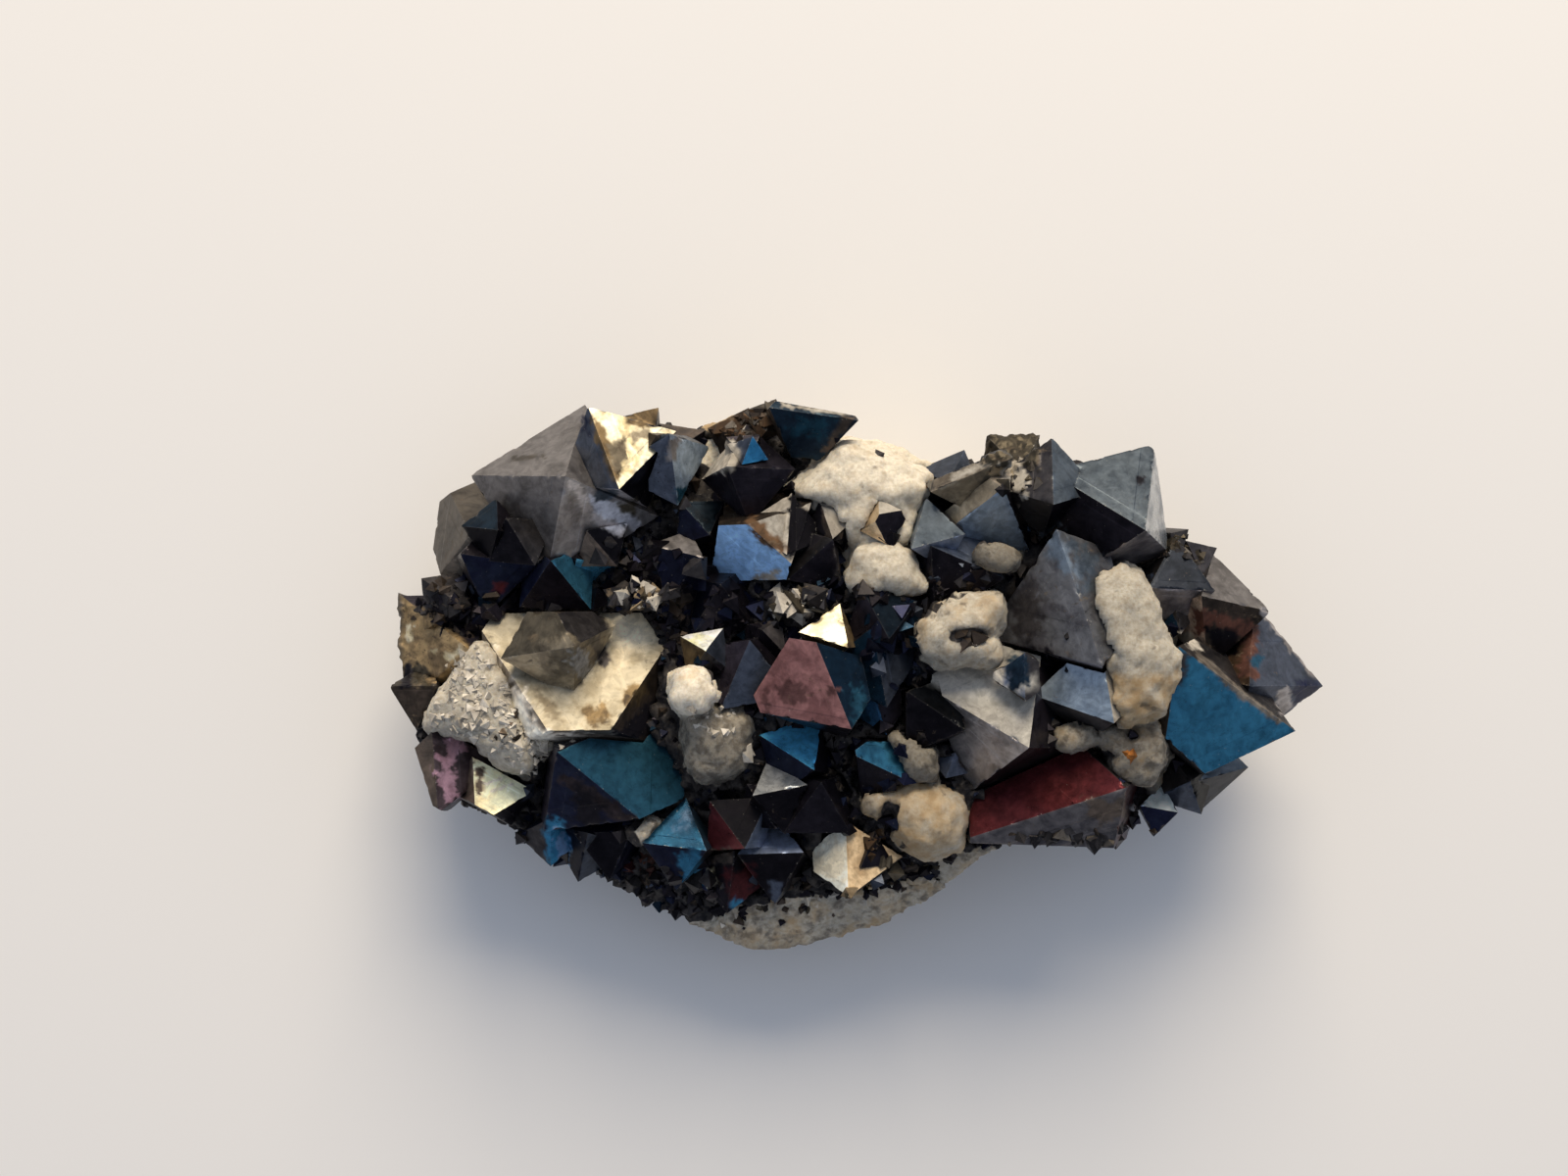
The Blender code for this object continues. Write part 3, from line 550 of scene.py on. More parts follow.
def tarnished_magnetite(name, pits=0.3, stains=0.6):
    """Metallic magnetite under a clouded, stained and dusty tarnish that each facet carries, with
    painted light in some facets' colours and a painted highlight along the edges.
    """

    def dressing(tree, place):
        colour, cloud, surface = (painted(tree, look, "Color") for look in LOOKS)
        parts = node_of(tree, "ShaderNodeSeparateColor", Color=surface)
        gloss, metal, stained = (parts.outputs[part] for part in ("Red", "Green", "Blue"))
        edge = painted(tree, "edge")
        broad = speckle(place, CLOUD_SIZE, detail=6.0, distortion=0.6)
        middling = speckle(place, SMUDGE_SIZE, detail=5.0, distortion=0.3)
        streaks = speckle(place, STREAK_SIZE, detail=8.0, distortion=1.5)
        patches = speckle(place, STAIN_SIZE, detail=8.0, distortion=0.8, rough=0.7)
        fine = speckle(place, PIT_SIZE, detail=3.0)
        colour = blended(band(broad, 0.42, 0.64), colour, cloud)
        shade = times(band(middling, 0.3, 0.7, 0.86, 1.12), band(streaks, 0.36, 0.62, 0.84, 1.14))
        colour = blended(times(band(fine, 0.36, 0.3), pits), toned(colour, shade), PIT_BLACK)
        stain = times(band(plus(patches, times(stained, 0.36)), 0.68, 0.76), stains)
        brown = blended(band(middling, 0.35, 0.65), *STAIN_BROWN)
        dust = times(band(plus(fine, times(edge, 0.08)), 0.7, 0.76), DUST_SHARE)
        colour = blended(dust, blended(stain, colour, brown), DUST_GREY)
        # Lighter along every edge: partly rubbed wear, partly a painted highlight where an edge
        # catches the light
        colour = blended(times(band(edge, 0.6, 1.0), RUBBED_AND_LIT_EDGE_SHARE), colour, RUBBED_AND_LIT_EDGE_GREY, "SCREEN")
        dull = maths("MAXIMUM", stain, dust)
        shine = node_of(tree, "ShaderNodeMath", operation="SUBTRACT")
        feed(shine.inputs[0], 1.0)
        feed(shine.inputs[1], times(dull, METAL_LOST))
        rough = plus(gloss, band(middling, 0.3, 0.7, -0.05, 0.08))
        relief = plus(times(middling, 0.5), times(fine, 0.3))
        bump = node_of(tree, "ShaderNodeBump", Strength=0.2, Distance=0.05 * MM, Height=relief)
        return {
            "Base Color": colour,
            "Metallic": times(metal, shine.outputs["Value"]),
            "Roughness": plus(rough, times(dull, ROUGHNESS_GAINED)),
            "Specular IOR Level": 0.12,
            "Normal": bump.outputs["Normal"],
        }

    return surfaced(name, dressing)


def facets(node):
    """A CAD node's mesh with every flat crystal face as one polygon."""
    form = welded(node)
    bmesh.ops.dissolve_limit(form, angle_limit=FLAT, verts=form.verts, edges=form.edges)
    form.normal_update()
    form.faces.ensure_lookup_table()
    return form


FACETED = {node: facets(node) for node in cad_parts}
LIGHTNESS = {node: {} for node in FACETED}
SEEN = {node: BVHTree.FromBMesh(form) for node, form in FACETED.items()}


def line_of_sight(place):
    """The direction from the eye to a place named by its point of the photograph."""
    across = (place[0] - 0.5 * PHOTO_WIDTH) * PIXEL
    up = (0.5 * PHOTO_HEIGHT - place[1]) * PIXEL
    return Vector((across, up, -EYE_TO_MIDDLE)).normalized()


def facets_at(place, node, planes):
    """The facet of a node that is seen at a place, with the others in the same plane."""
    ray = line_of_sight(place)
    hits = [(other, *tree.ray_cast(EYE, ray)) for other, tree in SEEN.items()]
    found, *_, index, distance = min((hit for hit in hits if hit[1]), key=lambda hit: hit[-1])
    if found != node:
        return []
    normal, offset = planes[index]
    return [other for other, (tilt, reach) in planes.items()
            if tilt.dot(normal) > SAME_TILT and abs(reach - offset) < SAME_PLANE]


def buried(node, point, normal):
    """Whether a facet lies close behind another node's face there, as in the rock's sockets."""
    for other, tree in SEEN.items():
        if other == node:
            continue
        found, facing, index, distance = tree.find_nearest(point, BURIED_GAP)
        if found and (found - point).dot(normal) > 0.6 * distance:
            return True
    return False


def mark(finish, tone, soft, *outline, crust=0.0, ragged=None):
    """A patch of another finish on crystal faces, raised by a rough crust if it has one."""
    ragged = 2.2 * soft if ragged is None else ragged
    return patch(list(outline), soft, finish=finish, tone=tone, crust=crust * MM, ragged=ragged)


def grown_steps(face, rng, striated):
    """Lines across a facet, parallel to its sides, at which its surface steps up."""
    steps = []
    middle = face.calc_center_median()
    sides = sorted(face.edges, key=lambda side: -side.calc_length())[:3]
    area = face.calc_area()
    if striated:
        along = (sides[0].verts[1].co - sides[0].verts[0].co).normalized()
        inward = face.normal.cross(along)
        for _ in range(STRIATIONS):
            at = middle + inward * rng.uniform(*STRIATION_SPREAD) * math.sqrt(area)
            steps.append((at, inward, rng.choice((-1, 1)) * rng.uniform(*STRIATION_HEIGHTS)))
        return steps
    for side in sides:
        along = (side.verts[1].co - side.verts[0].co).normalized()
        inward = face.normal.cross(along)
        reach = (middle - side.verts[0].co).dot(inward)
        if reach < 0:
            inward, reach = -inward, -reach
        for _ in range(rng.choice(STEPS_A_SIDE[area > BROAD_FACET])):
            at = side.verts[0].co + inward * reach * rng.uniform(*STEP_SPREAD)
            steps.append((at, inward, rng.uniform(*STEP_HEIGHTS)))
    return steps


def cut_at_steps(form, facet_of, steps_of):
    """Cuts each facet on both sides of every step across it."""
    for number, steps in steps_of.items():
        for at, inward, height in steps:
            for shift in (-0.5, 0.5):
                part = [face for face in form.faces if face[facet_of] == number]
                cut = set(part)
                for face in part:
                    cut.update(face.edges)
                    cut.update(face.verts)
                bmesh.ops.bisect_plane(form, geom=list(cut), dist=1e-7, plane_no=inward,
                                       plane_co=at + inward * shift * STEP_WIDTH)


def refined(form, node):
    """Splits the faces that show until their edges are short; buried ones stay large."""
    reach = LONGEST_EDGE
    while reach > WELL_SPLIT_EDGE:
        reach = max(0.5 * reach, WELL_SPLIT_EDGE)
        bmesh.ops.triangulate(form, faces=form.faces, ngon_method="BEAUTY")
        form.normal_update()
        long_edges = set()
        for face in form.faces:
            longer = [edge for edge in face.edges if edge.calc_length() > reach]
            if longer and (reach > BURIED_EDGE
                           or not buried(node, face.calc_center_median(), face.normal)):
                long_edges.update(longer)
        if long_edges:
            bmesh.ops.subdivide_edges(form, edges=list(long_edges), cuts=1, use_grid_fill=False)
    bmesh.ops.triangulate(form, faces=form.faces, ngon_method="BEAUTY")


def marks_on(form, marks):
    """The marks that reach each corner of a mesh, and how strongly."""
    marked = {}
    for vert in form.verts:
        wander = noise.fractal(vert.co / RAGGED_SIZE, *FINER_AND_FINER)
        spot = place_of(vert.co)
        shares = [(area, share_of(area, *spot, wander * area["ragged"])) for area in marks]
        marked[vert.index] = [(area, share) for area, share in shares if share > FAINT]
    return marked


def look_of(finish, tone):
    """What a mesh carries of a finish: its tarnish, its cloud and its surface."""
    colours = [[part * tone for part in finish[look][:3]] for look in ("colour", "cloud")]
    return [*colours, finish["surface"]]


def tinted(loop, layers, look):
    """Puts a look on one corner of a face."""
    for layer, values in zip(layers, look):
        loop[layer] = [min(1.0, value) for value in values] + [1.0]


def crystals(node, name, slot, seed, plain, paint, marks=(), striated=(), pits=0.3, stains=0.6):
    """A group of crystals as it is seen: facets with steps, nicked edges, marks and tarnish."""
    rng = random.Random(seed)
    form = FACETED[node].copy()
    form.faces.ensure_lookup_table()
    form.normal_update()
    planes = {face.index: (face.normal.copy(), face.normal.dot(face.verts[0].co))
              for face in form.faces}
    finish_of = dict.fromkeys(planes, (plain, 1.0))
    # Tones well above one lift faces that lie in shadow, painting light onto them
    for finish, *places in paint:
        for x, y, *tone in places:
            for number in facets_at((x, y), node, planes):
                finish_of[number] = (finish, *(tone or [1.0]))
    lined = {number for place in striated for number in facets_at(place, node, planes)}
    facet_of = form.faces.layers.int.new("facet")
    steps_of = {}
    for face in form.faces:
        number = face[facet_of] = face.index
        finish, tone = finish_of[number]
        LIGHTNESS[node][number] = tone * max(finish["colour"][:3])
        stepped = face.normal.z > STEPPED_LEAN and face.calc_area() > STEPPED_FACET
        steps_of[number] = grown_steps(face, rng, number in lined) if stepped else []
    cut_at_steps(form, facet_of, steps_of)
    refined(form, node)
    layers = [form.loops.layers.float_color.new(look) for look in LOOKS]
    edge_layer = form.verts.layers.float.new("edge")
    form.verts.index_update()
    marked = marks_on(form, marks)
    tone_of = {number: rng.uniform(*TONES) for number in steps_of}
    for face in form.faces:
        number = face[facet_of]
        finish, tone = finish_of[number]
        plain_look = look_of(finish, tone * tone_of[number])
        for loop in face.loops:
            look = plain_look
            for area, share in marked[loop.vert.index] if planes[number][0].z > UPWARD else ():
                there = look_of(area["finish"], area["tone"])
                look = [[a + (b - a) * share for a, b in zip(*pair)] for pair in zip(look, there)]
            tinted(loop, layers, look)
        face.smooth = True
    moves = []
    for vert in form.verts:
        numbers = {face[facet_of] for face in vert.link_faces}
        move = Vector()
        for number in numbers:
            height = noise.noise(vert.co / HILL_SIZE + Vector((number, 0, 0))) * HILL_HEIGHT
            for at, inward, step in steps_of[number]:
                height += step * smooth(-0.4, 0.4, (vert.co - at).dot(inward) / STEP_WIDTH)
            move += planes[number][0] * height
        move /= len(numbers)
        if len(numbers) > 1:
            vert[edge_layer] = 1.0
            nick = max(0.0, noise.noise(vert.co / NICK_SIZE) - UNNICKED) * NICK_DEPTH
            move -= vert.normal * nick
        for area, share in marked[vert.index]:
            if area["crust"] and vert.normal.z > CRUSTED_LEAN:
                rough = CRUST_HEIGHT + CRUST_GRIT * noise.noise(vert.co / GRIT_SIZE)
                move += vert.normal * area["crust"] * share * rough
        moves.append(move)
    for vert, move in zip(form.verts, moves):
        vert.co += move
        kept_inside(vert.co)
    for edge in form.edges:
        if len(edge.link_faces) == 2:
            one, other = (face[facet_of] for face in edge.link_faces)
            edge.smooth = one == other or planes[one][0].angle(planes[other][0]) < SHARP_EDGE
    shown(name, form, tarnished_magnetite(f"{name}_tarnish", pits, stains), slot, node)


crystals(
    "big_grey_crystals", "big_grey", "lilac_grey_iron", 1, IRON_BLACK,
    paint=[
        (LILAC_GREY, (548, 508), (560, 462), (588, 480), (594, 518, 2.4), (628, 502, 4.2)),
        (WARM_GREY, (460, 546, 0.75), (478, 512, 0.6), (462, 578, 4.0)),
        (DARK_GREY, (536, 540, 0.6)),
        (SLATE_BLUE, (602, 456, 1.2)),
        (BROWN_GREY, (606, 568, 4.0), (696, 440, 1.4)),
        (BRIGHT_GOLD, (640, 452, 0.85)),
        (BRONZE, (664, 426, 0.7)),
        (BLUE_BLACK, (504, 592, 1.3), (538, 596, 2.5)),
        (IRON_BLACK, (562, 604, 1.5), (520, 560, 0.7), (494, 550, 0.5), (622, 550, 0.5)),
        # The teal face at (610, 584) lies in shadow; its tone of 12 paints light onto it
        (DEEP_TEAL, (594, 592, 5.0), (610, 584, 12.0)),
        (TEAL_BLACK, (496, 528, 0.8)),
    ],
    marks=[
        mark(BRONZE, 0.9, 2, (603, 424), (614, 428), (636, 478), (634, 498), (622, 480),
             (608, 450)),
        mark(OLIVE_GREY, 1.6, 2, (624, 448), (638, 446), (642, 466), (634, 482), (624, 470),
             ragged=7),
        mark(OLIVE_GREY, 2.4, 2, (640, 440), (660, 438), (664, 446), (646, 452), ragged=6),
        mark(BRONZE, 1.1, 1.5, (636, 425), (664, 431), (662, 437), (640, 435)),
        # Pale grey bands in the gold crystal's shadow: their own grey, painted bright as a
        # highlight over that shade
        mark(LILAC_GREY, 4.5, 2, (578, 488), (590, 492), (608, 520), (640, 538), (632, 546),
             (598, 528)),
        mark(PALE_GREY_AND_HIGHLIGHT, 1.8, 2, (602, 504), (618, 508), (640, 528), (634, 534), (606, 522),
             ragged=4),
        mark(PALE_GREY_AND_HIGHLIGHT, 1.5, 2, (618, 512), (634, 511), (654, 534), (648, 543), (626, 528),
             ragged=4),
        mark(BLUE_BLACK, 1.4, 2, (592, 424), (598, 424), (602, 444), (594, 440)),
        mark(STEEL_BLUE, 0.8, 2, (606, 498), (632, 499), (630, 509), (608, 510)),
        mark(OLIVE_GREY, 1.6, 2, (630, 512), (650, 510), (648, 525), (634, 526)),
        # A small red glint on the dark face: a painted highlight
        mark(DARK_RED, 3.0, 1.5, (503, 594), (517, 595), (513, 603), (502, 602)),
        mark(WARM_GREY, 0.6, 1.2, (522, 466), (556, 464), (556, 467), (522, 470)),
    ],
)

# The pitted crystal
# A steel-blue magnetite crystal eaten by small pits. It grew in the rock right of the gold
# mirror.
crystals(
    "pitted_steel_blue_crystal", "pitted_blue", "pitted_steel_blue", 2, TEAL_BLACK,
    paint=[(STEEL_BLUE, (702, 466, 3.2)), (SLATE_BLUE, (676, 490, 1.7))],
    marks=[
        mark(DEEP_TEAL, 1.5, 2, (690, 498), (712, 494), (714, 520), (694, 520)),
        mark(LILAC_GREY, 1.6, 1.5, (684, 447), (694, 447), (690, 470), (680, 472)),
    ],
    pits=0.9,
)

# The bronze crystals
# Rough, glittering bronze-brown magnetite with black outer faces, grown out of the left end of
# the rock.
crystals(
    "bronze_crystals", "bronze", "rough_bronze", 3, DARK_GREY,
    paint=[
        (BRONZE, (434, 664, 1.8), (456, 690, 1.6)),
        (BROWN_GREY, (422, 714, 0.9)),
        (DARK_GREY, (446, 618), (462, 596)),
        # The black face at (524, 614) lies in shadow; its tone of 3 paints light onto it
        (IRON_BLACK, (468, 644, 2.0), (524, 614, 3.0), (484, 626, 2.0), (470, 626, 3.0),
         (488, 640, 2.0)),
        (WARM_GREY, (422, 692, 0.6)),
    ],
    marks=[
        mark(BRONZE, 2.2, 3, (412, 620), (432, 620), (480, 660), (476, 676), (454, 696), (424, 700),
             (410, 665), crust=0.16),
        mark(WARM_GREY, 1.0, 2, (396, 604), (414, 604), (412, 640), (410, 690), (396, 692),
             crust=0.35),
        # Three small bright gold glints: painted highlights
        mark(BRIGHT_GOLD, 0.8, 1.5, (413, 640), (420, 636), (424, 652), (416, 656), ragged=5),
        mark(BRIGHT_GOLD, 0.6, 1.5, (456, 668), (470, 660), (474, 666), (460, 674), ragged=5),
        mark(BRIGHT_GOLD, 0.6, 1, (440, 664), (448, 662), (446, 668), ragged=3),
        mark(OLIVE_GREY, 0.8, 2, (414, 676), (440, 684), (436, 700), (418, 700), ragged=5),
        mark(IRON_BLACK, 1.0, 1.5, (412, 678), (424, 676), (420, 700), (408, 702)),
    ],
    pits=0.8, stains=0.8,
)

# The pale gold crystals
# Magnetite with a broad six-sided face of pale gold, and a dark grey octahedron grown on that.
# White feldspar holds it at the left.
# The dull white below is for white crusts and sugar grains, and also paints one highlight strip
WHITE_CRUST_AND_HIGHLIGHT = tarnish((205, 197, 182), (176, 167, 152), 0.85, 0.1, metal=0.0)
DULL_BLACK = tarnish((18, 16, 21), (14, 13, 18), 0.8, 0.0, metal=0.0)
# A diffuse cream, used as painted light on the gold face
CREAM_PAINTED_LIGHT = tarnish((250, 236, 204), (238, 220, 184), 0.6, 0.0, metal=0.0)
PALE_GOLD = tarnish((196, 186, 162), (172, 160, 134), 0.46, 0.2, metal=0.3)

crystals(
    "pale_gold_crystals", "pale_gold", "pale_gold", 4, BROWN_GREY,
    paint=[
        (PALE_GOLD, (510, 648, 0.75)),
        (OLIVE_GREY, (550, 644), (566, 682, 5.0), (598, 668, 2.2)),
        (DARK_GREY, (592, 640)),
        (WARM_GREY, (538, 732, 2.0), (562, 752, 2.5)),
    ],
    marks=[
        # White crust on the lower left side; its tone of 1.7 also paints light into that shaded
        # side
        mark(WHITE_CRUST_AND_HIGHLIGHT, 1.7, 3.5, (488, 668), (504, 664), (532, 704), (552, 746), (604, 752),
             (602, 764), (560, 768), (528, 742), (504, 700), crust=0.25),
        mark(DULL_BLACK, 1.5, 3, (626, 750), (640, 738), (664, 712), (684, 716), (668, 756),
             (636, 758)),
        mark(BRONZE, 0.8, 3, (640, 704), (662, 694), (654, 714), (640, 726), (630, 718)),
        mark(BRONZE, 0.9, 3, (592, 722), (618, 718), (622, 738), (598, 742)),
        mark(OLIVE_GREY, 1.4, 3, (545, 704), (566, 716), (574, 738), (558, 734)),
        mark(OLIVE_GREY, 2.0, 4, (556, 656), (584, 648), (604, 668), (592, 694), (566, 690),
             crust=0.08),
        mark(WHITE_CRUST_AND_HIGHLIGHT, 0.5, 2, (582, 664), (598, 666), (604, 684), (590, 690), (580, 678),
             crust=0.05, ragged=10),
        mark(DARK_GREY, 1.0, 1.5, (590, 626), (598, 628), (626, 676), (616, 684), (598, 652)),
        # Painted light: a cream patch that evens out the shade falling on the gold face's upper
        # right
        mark(CREAM_PAINTED_LIGHT, 1.0, 9, (622, 622), (656, 622), (676, 652), (650, 664), (632, 680),
             ragged=5),
    ],
)

# The plum and gold crystals
# Two magnetite crystals grown out of the lower left edge: one plum and grey, one with a
# striated gold face.
PLUM = tarnish((110, 95, 98), (70, 58, 60), 0.34, 0.3)
STRIATED_GOLD = tarnish((236, 222, 184), (214, 198, 156), 0.4, 0.05, metal=0.25)
ROSE = tarnish((150, 118, 128), (118, 90, 98), 0.34, 0.1)

crystals(
    "plum_and_gold_crystals", "plum_and_gold", "plum_and_gold", 5, BROWN_GREY,
    paint=[
        (PLUM, (462, 772, 0.6)),
        (STRIATED_GOLD, (504, 808, 1.5)),
        (BROWN_GREY, (434, 768, 1.9), (480, 812, 2.6)),
        (IRON_BLACK, (520, 832)),
    ],
    marks=[
        mark(ROSE, 1.5, 1.5, (454, 748), (478, 744), (476, 764), (458, 768), ragged=8),
        mark(ROSE, 1.7, 1.5, (446, 774), (464, 766), (468, 814), (450, 818), ragged=12),
        mark(PLUM, 0.4, 2, (466, 776), (476, 774), (474, 812), (468, 808)),
        mark(BROWN_GREY, 1.8, 1.5, (485, 778), (494, 788), (492, 812), (487, 812), ragged=6),
        mark(WHITE_CRUST_AND_HIGHLIGHT, 1.6, 1, (494, 799), (512, 793), (513, 795), (495, 802), ragged=0),
        mark(WHITE_CRUST_AND_HIGHLIGHT, 1.6, 1, (500, 806), (524, 799), (524, 801), (501, 809), ragged=0),
    ],
    striated=[(504, 808)],
)

# The teal crystals
# Magnetite with one large deep teal face, and broken blue-black crystals grown through its
# lower edge.
LIGHT_BLUE = tarnish((88, 114, 142), (76, 102, 131), 0.3, 0.0)
PEACOCK_BLUE = tarnish((40, 90, 116), (33, 78, 103), 0.3, 0.05)

crystals(
    "teal_crystals", "teal", "deep_teal", 6, BLUE_BLACK,
    paint=[
        (DEEP_TEAL, (654, 792, 1.8)),
        (BLUE_BLACK, (586, 818, 1.2), (586, 876, 0.4)),
        (IRON_BLACK, (620, 864, 0.7), (562, 774, 3.5)),
        (DARK_GREY, (548, 856)),
        (PEACOCK_BLUE, (570, 856, 1.4)),
        (SLATE_BLUE, (602, 884, 0.8)),
    ],
    marks=[
        mark(PLUM, 0.3, 2, (574, 786), (600, 800), (650, 836), (640, 842), (600, 820), (570, 796)),
        mark(PEACOCK_BLUE, 2.0, 3, (556, 836), (574, 838), (582, 862), (576, 888), (562, 880)),
        mark(LIGHT_BLUE, 1.8, 1.5, (562, 846), (578, 852), (582, 880), (570, 874), ragged=9),
        mark(IRON_BLACK, 1.0, 5, (590, 800), (618, 822), (612, 846), (588, 840)),
    ],
)

# The lower blue and red crystals
# Small magnetite crystals grown together along the lower middle: bright blue, dark red and
# slate, and one white face.
AZURE = tarnish((38, 94, 128), (28, 76, 108), 0.28, 0.0)
WHITE_SILVER = tarnish((176, 178, 178), (120, 126, 132), 0.28, 0.1)

crystals(
    "lower_blue_and_red_crystals", "lower_blue_and_red", "blue_black", 7, IRON_BLACK,
    paint=[
        (IRON_BLACK, (788, 890, 0.6), (836, 832), (796, 822, 0.5), (758, 904, 0.7)),
        (DULL_BLACK, (756, 832, 0.8)),
        (AZURE, (694, 846, 0.4)),
        (PEACOCK_BLUE, (818, 758, 5.5)),
        (BLUE_BLACK, (690, 880), (790, 772), (714, 896, 1.5)),
        (DARK_RED, (736, 854, 2.6)),
        # The slate face at (794, 860) lies in shadow; its tone of 8 paints light onto it
        (SLATE_BLUE, (794, 860, 8.0), (774, 854, 4.2)),
        (WHITE_SILVER, (788, 796)),
        (TEAL_BLACK, (718, 848, 2.5)),
        (DARK_GREY, (724, 890, 1.5)),
    ],
    marks=[
        mark(PEACOCK_BLUE, 1.6, 3, (692, 872), (714, 868), (716, 900), (698, 904)),
        mark(LIGHT_BLUE, 0.6, 4, (700, 822), (706, 828), (700, 848), (690, 846)),
        mark(DARK_RED, 1.6, 4, (738, 888), (766, 884), (772, 920), (748, 926)),
        mark(SLATE_BLUE, 1.6, 2, (786, 898), (798, 900), (800, 926), (788, 932)),
        mark(PEACOCK_BLUE, 2.2, 2, (746, 920), (766, 918), (764, 932), (748, 934)),
        mark(BROWN_GREY, 2.0, 2, (726, 866), (748, 866), (746, 880), (728, 880)),
        mark(BRIGHT_GOLD, 0.8, 1.5, (720, 888), (728, 886), (732, 902), (722, 906)),
    ],
)

# The copper and dark blue crystals
# Magnetite in the middle of the rock with a stained copper-pink face, and dark blue crystals
# grown through it at the right.
COPPER_PINK = tarnish((96, 66, 63), (76, 50, 48), 0.34, 0.2)
DARK_BLUE = tarnish((18, 38, 54), (15, 30, 43), 0.3, 0.05)

crystals(
    "copper_and_dark_blue_crystals", "copper_and_dark_blue", "copper_pink", 8, IRON_BLACK,
    paint=[
        (COPPER_PINK, (814, 700, 3.0)),
        (DARK_BLUE, (864, 684, 0.8), (882, 658, 1.4)),
        (SLATE_BLUE, (768, 682, 1.6), (912, 678, 0.9), (732, 662)),
        (TEAL_BLACK, (908, 622, 0.4)),
        (BRIGHT_GOLD, (846, 640, 0.7), (718, 654, 1.8)),
        (IRON_BLACK, (882, 630, 1.3), (750, 664, 3.5), (932, 638, 0.5), (910, 728, 1.5)),
        # The dark blue face at (890, 730) lies in shadow; its tone of 12 paints light onto it
        (DARK_BLUE, (890, 730, 12.0)),
        (BRONZE, (706, 666, 0.8), (864, 638, 1.2), (822, 650, 0.2)),
        (DARK_GREY, (722, 676), (792, 644, 3.0), (774, 638)),
    ],
    marks=[
        mark(COPPER_PINK, 1.2, 2, (792, 702), (808, 693), (826, 702), (822, 719), (798, 716),
             ragged=7),
        mark(COPPER_PINK, 1.2, 1.5, (842, 700), (855, 702), (852, 711), (843, 710), ragged=4),
        mark(COPPER_PINK, 1.3, 2, (776, 702), (784, 700), (786, 728), (778, 728), ragged=6),
        mark(DEEP_TEAL, 1.6, 4, (868, 700), (880, 700), (886, 736), (874, 738)),
    ],
)

# The small peacock crystal
# A little blue magnetite crystal, grown in the gap between the copper-pink and the silver ones.
crystals(
    "small_peacock_crystal", "small_peacock", "small_peacock_blue", 9, IRON_BLACK,
    paint=[(PEACOCK_BLUE, (900, 770, 1.0)), (IRON_BLACK, (890, 796))],
)

# The light blue and black crystals
# Spiky black magnetite of the upper middle, grown together in the dark rock, with one light
# blue face.
RUSTY = tarnish((72, 54, 38), (50, 38, 28), 0.6, 0.4, metal=0.3)
SKY_BLUE = tarnish((120, 154, 188), (110, 144, 180), 0.6, 0.0, metal=0.0)

crystals(
    "light_blue_and_black_crystals", "light_blue_and_black", "light_blue_on_black", 10, IRON_BLACK,
    paint=[
        (SKY_BLUE, (756, 562, 1.9)),
        (IRON_BLACK, (772, 496, 1.5), (736, 626), (842, 584, 1.4), (736, 492, 1.8), (688, 620),
         (808, 558, 0.6)),
        (BLUE_BLACK, (686, 578, 0.5), (720, 602, 0.4), (702, 538), (712, 586)),
        (TEAL_BLACK, (720, 524, 0.4)),
        (LILAC_GREY, (692, 554, 1.3)),
        (AZURE, (770, 462, 2.2)),
        (SLATE_BLUE, (754, 458, 0.9)),
        (BROWN_GREY, (744, 528, 0.6), (840, 540, 1.6)),
        (DARK_GREY, (836, 554, 0.4)),
        (WHITE_CRUST_AND_HIGHLIGHT, (738, 470, 0.55), (788, 540, 0.6), (802, 514, 0.8), (852, 534, 0.55)),
    ],
    marks=[
        mark(RUSTY, 2.2, 2, (758, 528), (770, 526), (802, 556), (800, 568), (786, 560), (768, 544),
             ragged=5),
        mark(WHITE_CRUST_AND_HIGHLIGHT, 0.6, 3, (766, 586), (796, 582), (794, 596), (770, 597)),
        mark(WHITE_CRUST_AND_HIGHLIGHT, 0.7, 2, (716, 460), (732, 446), (750, 452), (756, 466), (748, 480),
             (728, 483), crust=0.12, ragged=4),
        mark(DULL_BLACK, 1.0, 1.5, (805, 508), (812, 502), (817, 520), (830, 522), (837, 508),
             (842, 546), (830, 556), (806, 572), ragged=3),
        mark(DARK_GREY, 2.5, 2, (853, 560), (862, 560), (861, 600), (854, 600)),
    ],
)

# The teal-black crystals
# Three magnetite crystals grown out of the top edge, the largest with a smooth teal-black face.
crystals(
    "teal_black_top_crystals", "teal_black", "teal_black", 11, BROWN_GREY,
    paint=[
        (TEAL_BLACK, (826, 446, 1.5), (792, 414)),
        (RUSTY, (750, 432, 0.6), (768, 434, 6.0)),
        (WARM_GREY, (774, 424, 0.7)),
    ],
    marks=[
        mark(WHITE_CRUST_AND_HIGHLIGHT, 0.6, 1.2, (798, 412), (866, 420), (866, 424), (798, 416)),
        mark(BROWN_GREY, 1.5, 2, (862, 424), (872, 426), (846, 462), (838, 460)),
        mark(DEEP_TEAL, 1.2, 6, (806, 424), (850, 428), (836, 448), (812, 444)),
    ],
)

# The dark crystal in the white rock
# A small dark magnetite crystal that the white feldspar grew round and almost wraps.
TAN_CRUST = tarnish((158, 138, 108), (122, 102, 76), 0.85, 0.2, metal=0.0)

crystals(
    "dark_crystal_in_the_white_rock", "wrapped_crystal", "iron_black", 12, DARK_GREY,
    paint=[
        (IRON_BLACK, (908, 536, 1.3)),
        (TAN_CRUST, (892, 522, 1.1)),
        (WHITE_CRUST_AND_HIGHLIGHT, (902, 518, 0.55)),
        (TAN_CRUST, (890, 542, 2.6)),
    ],
)

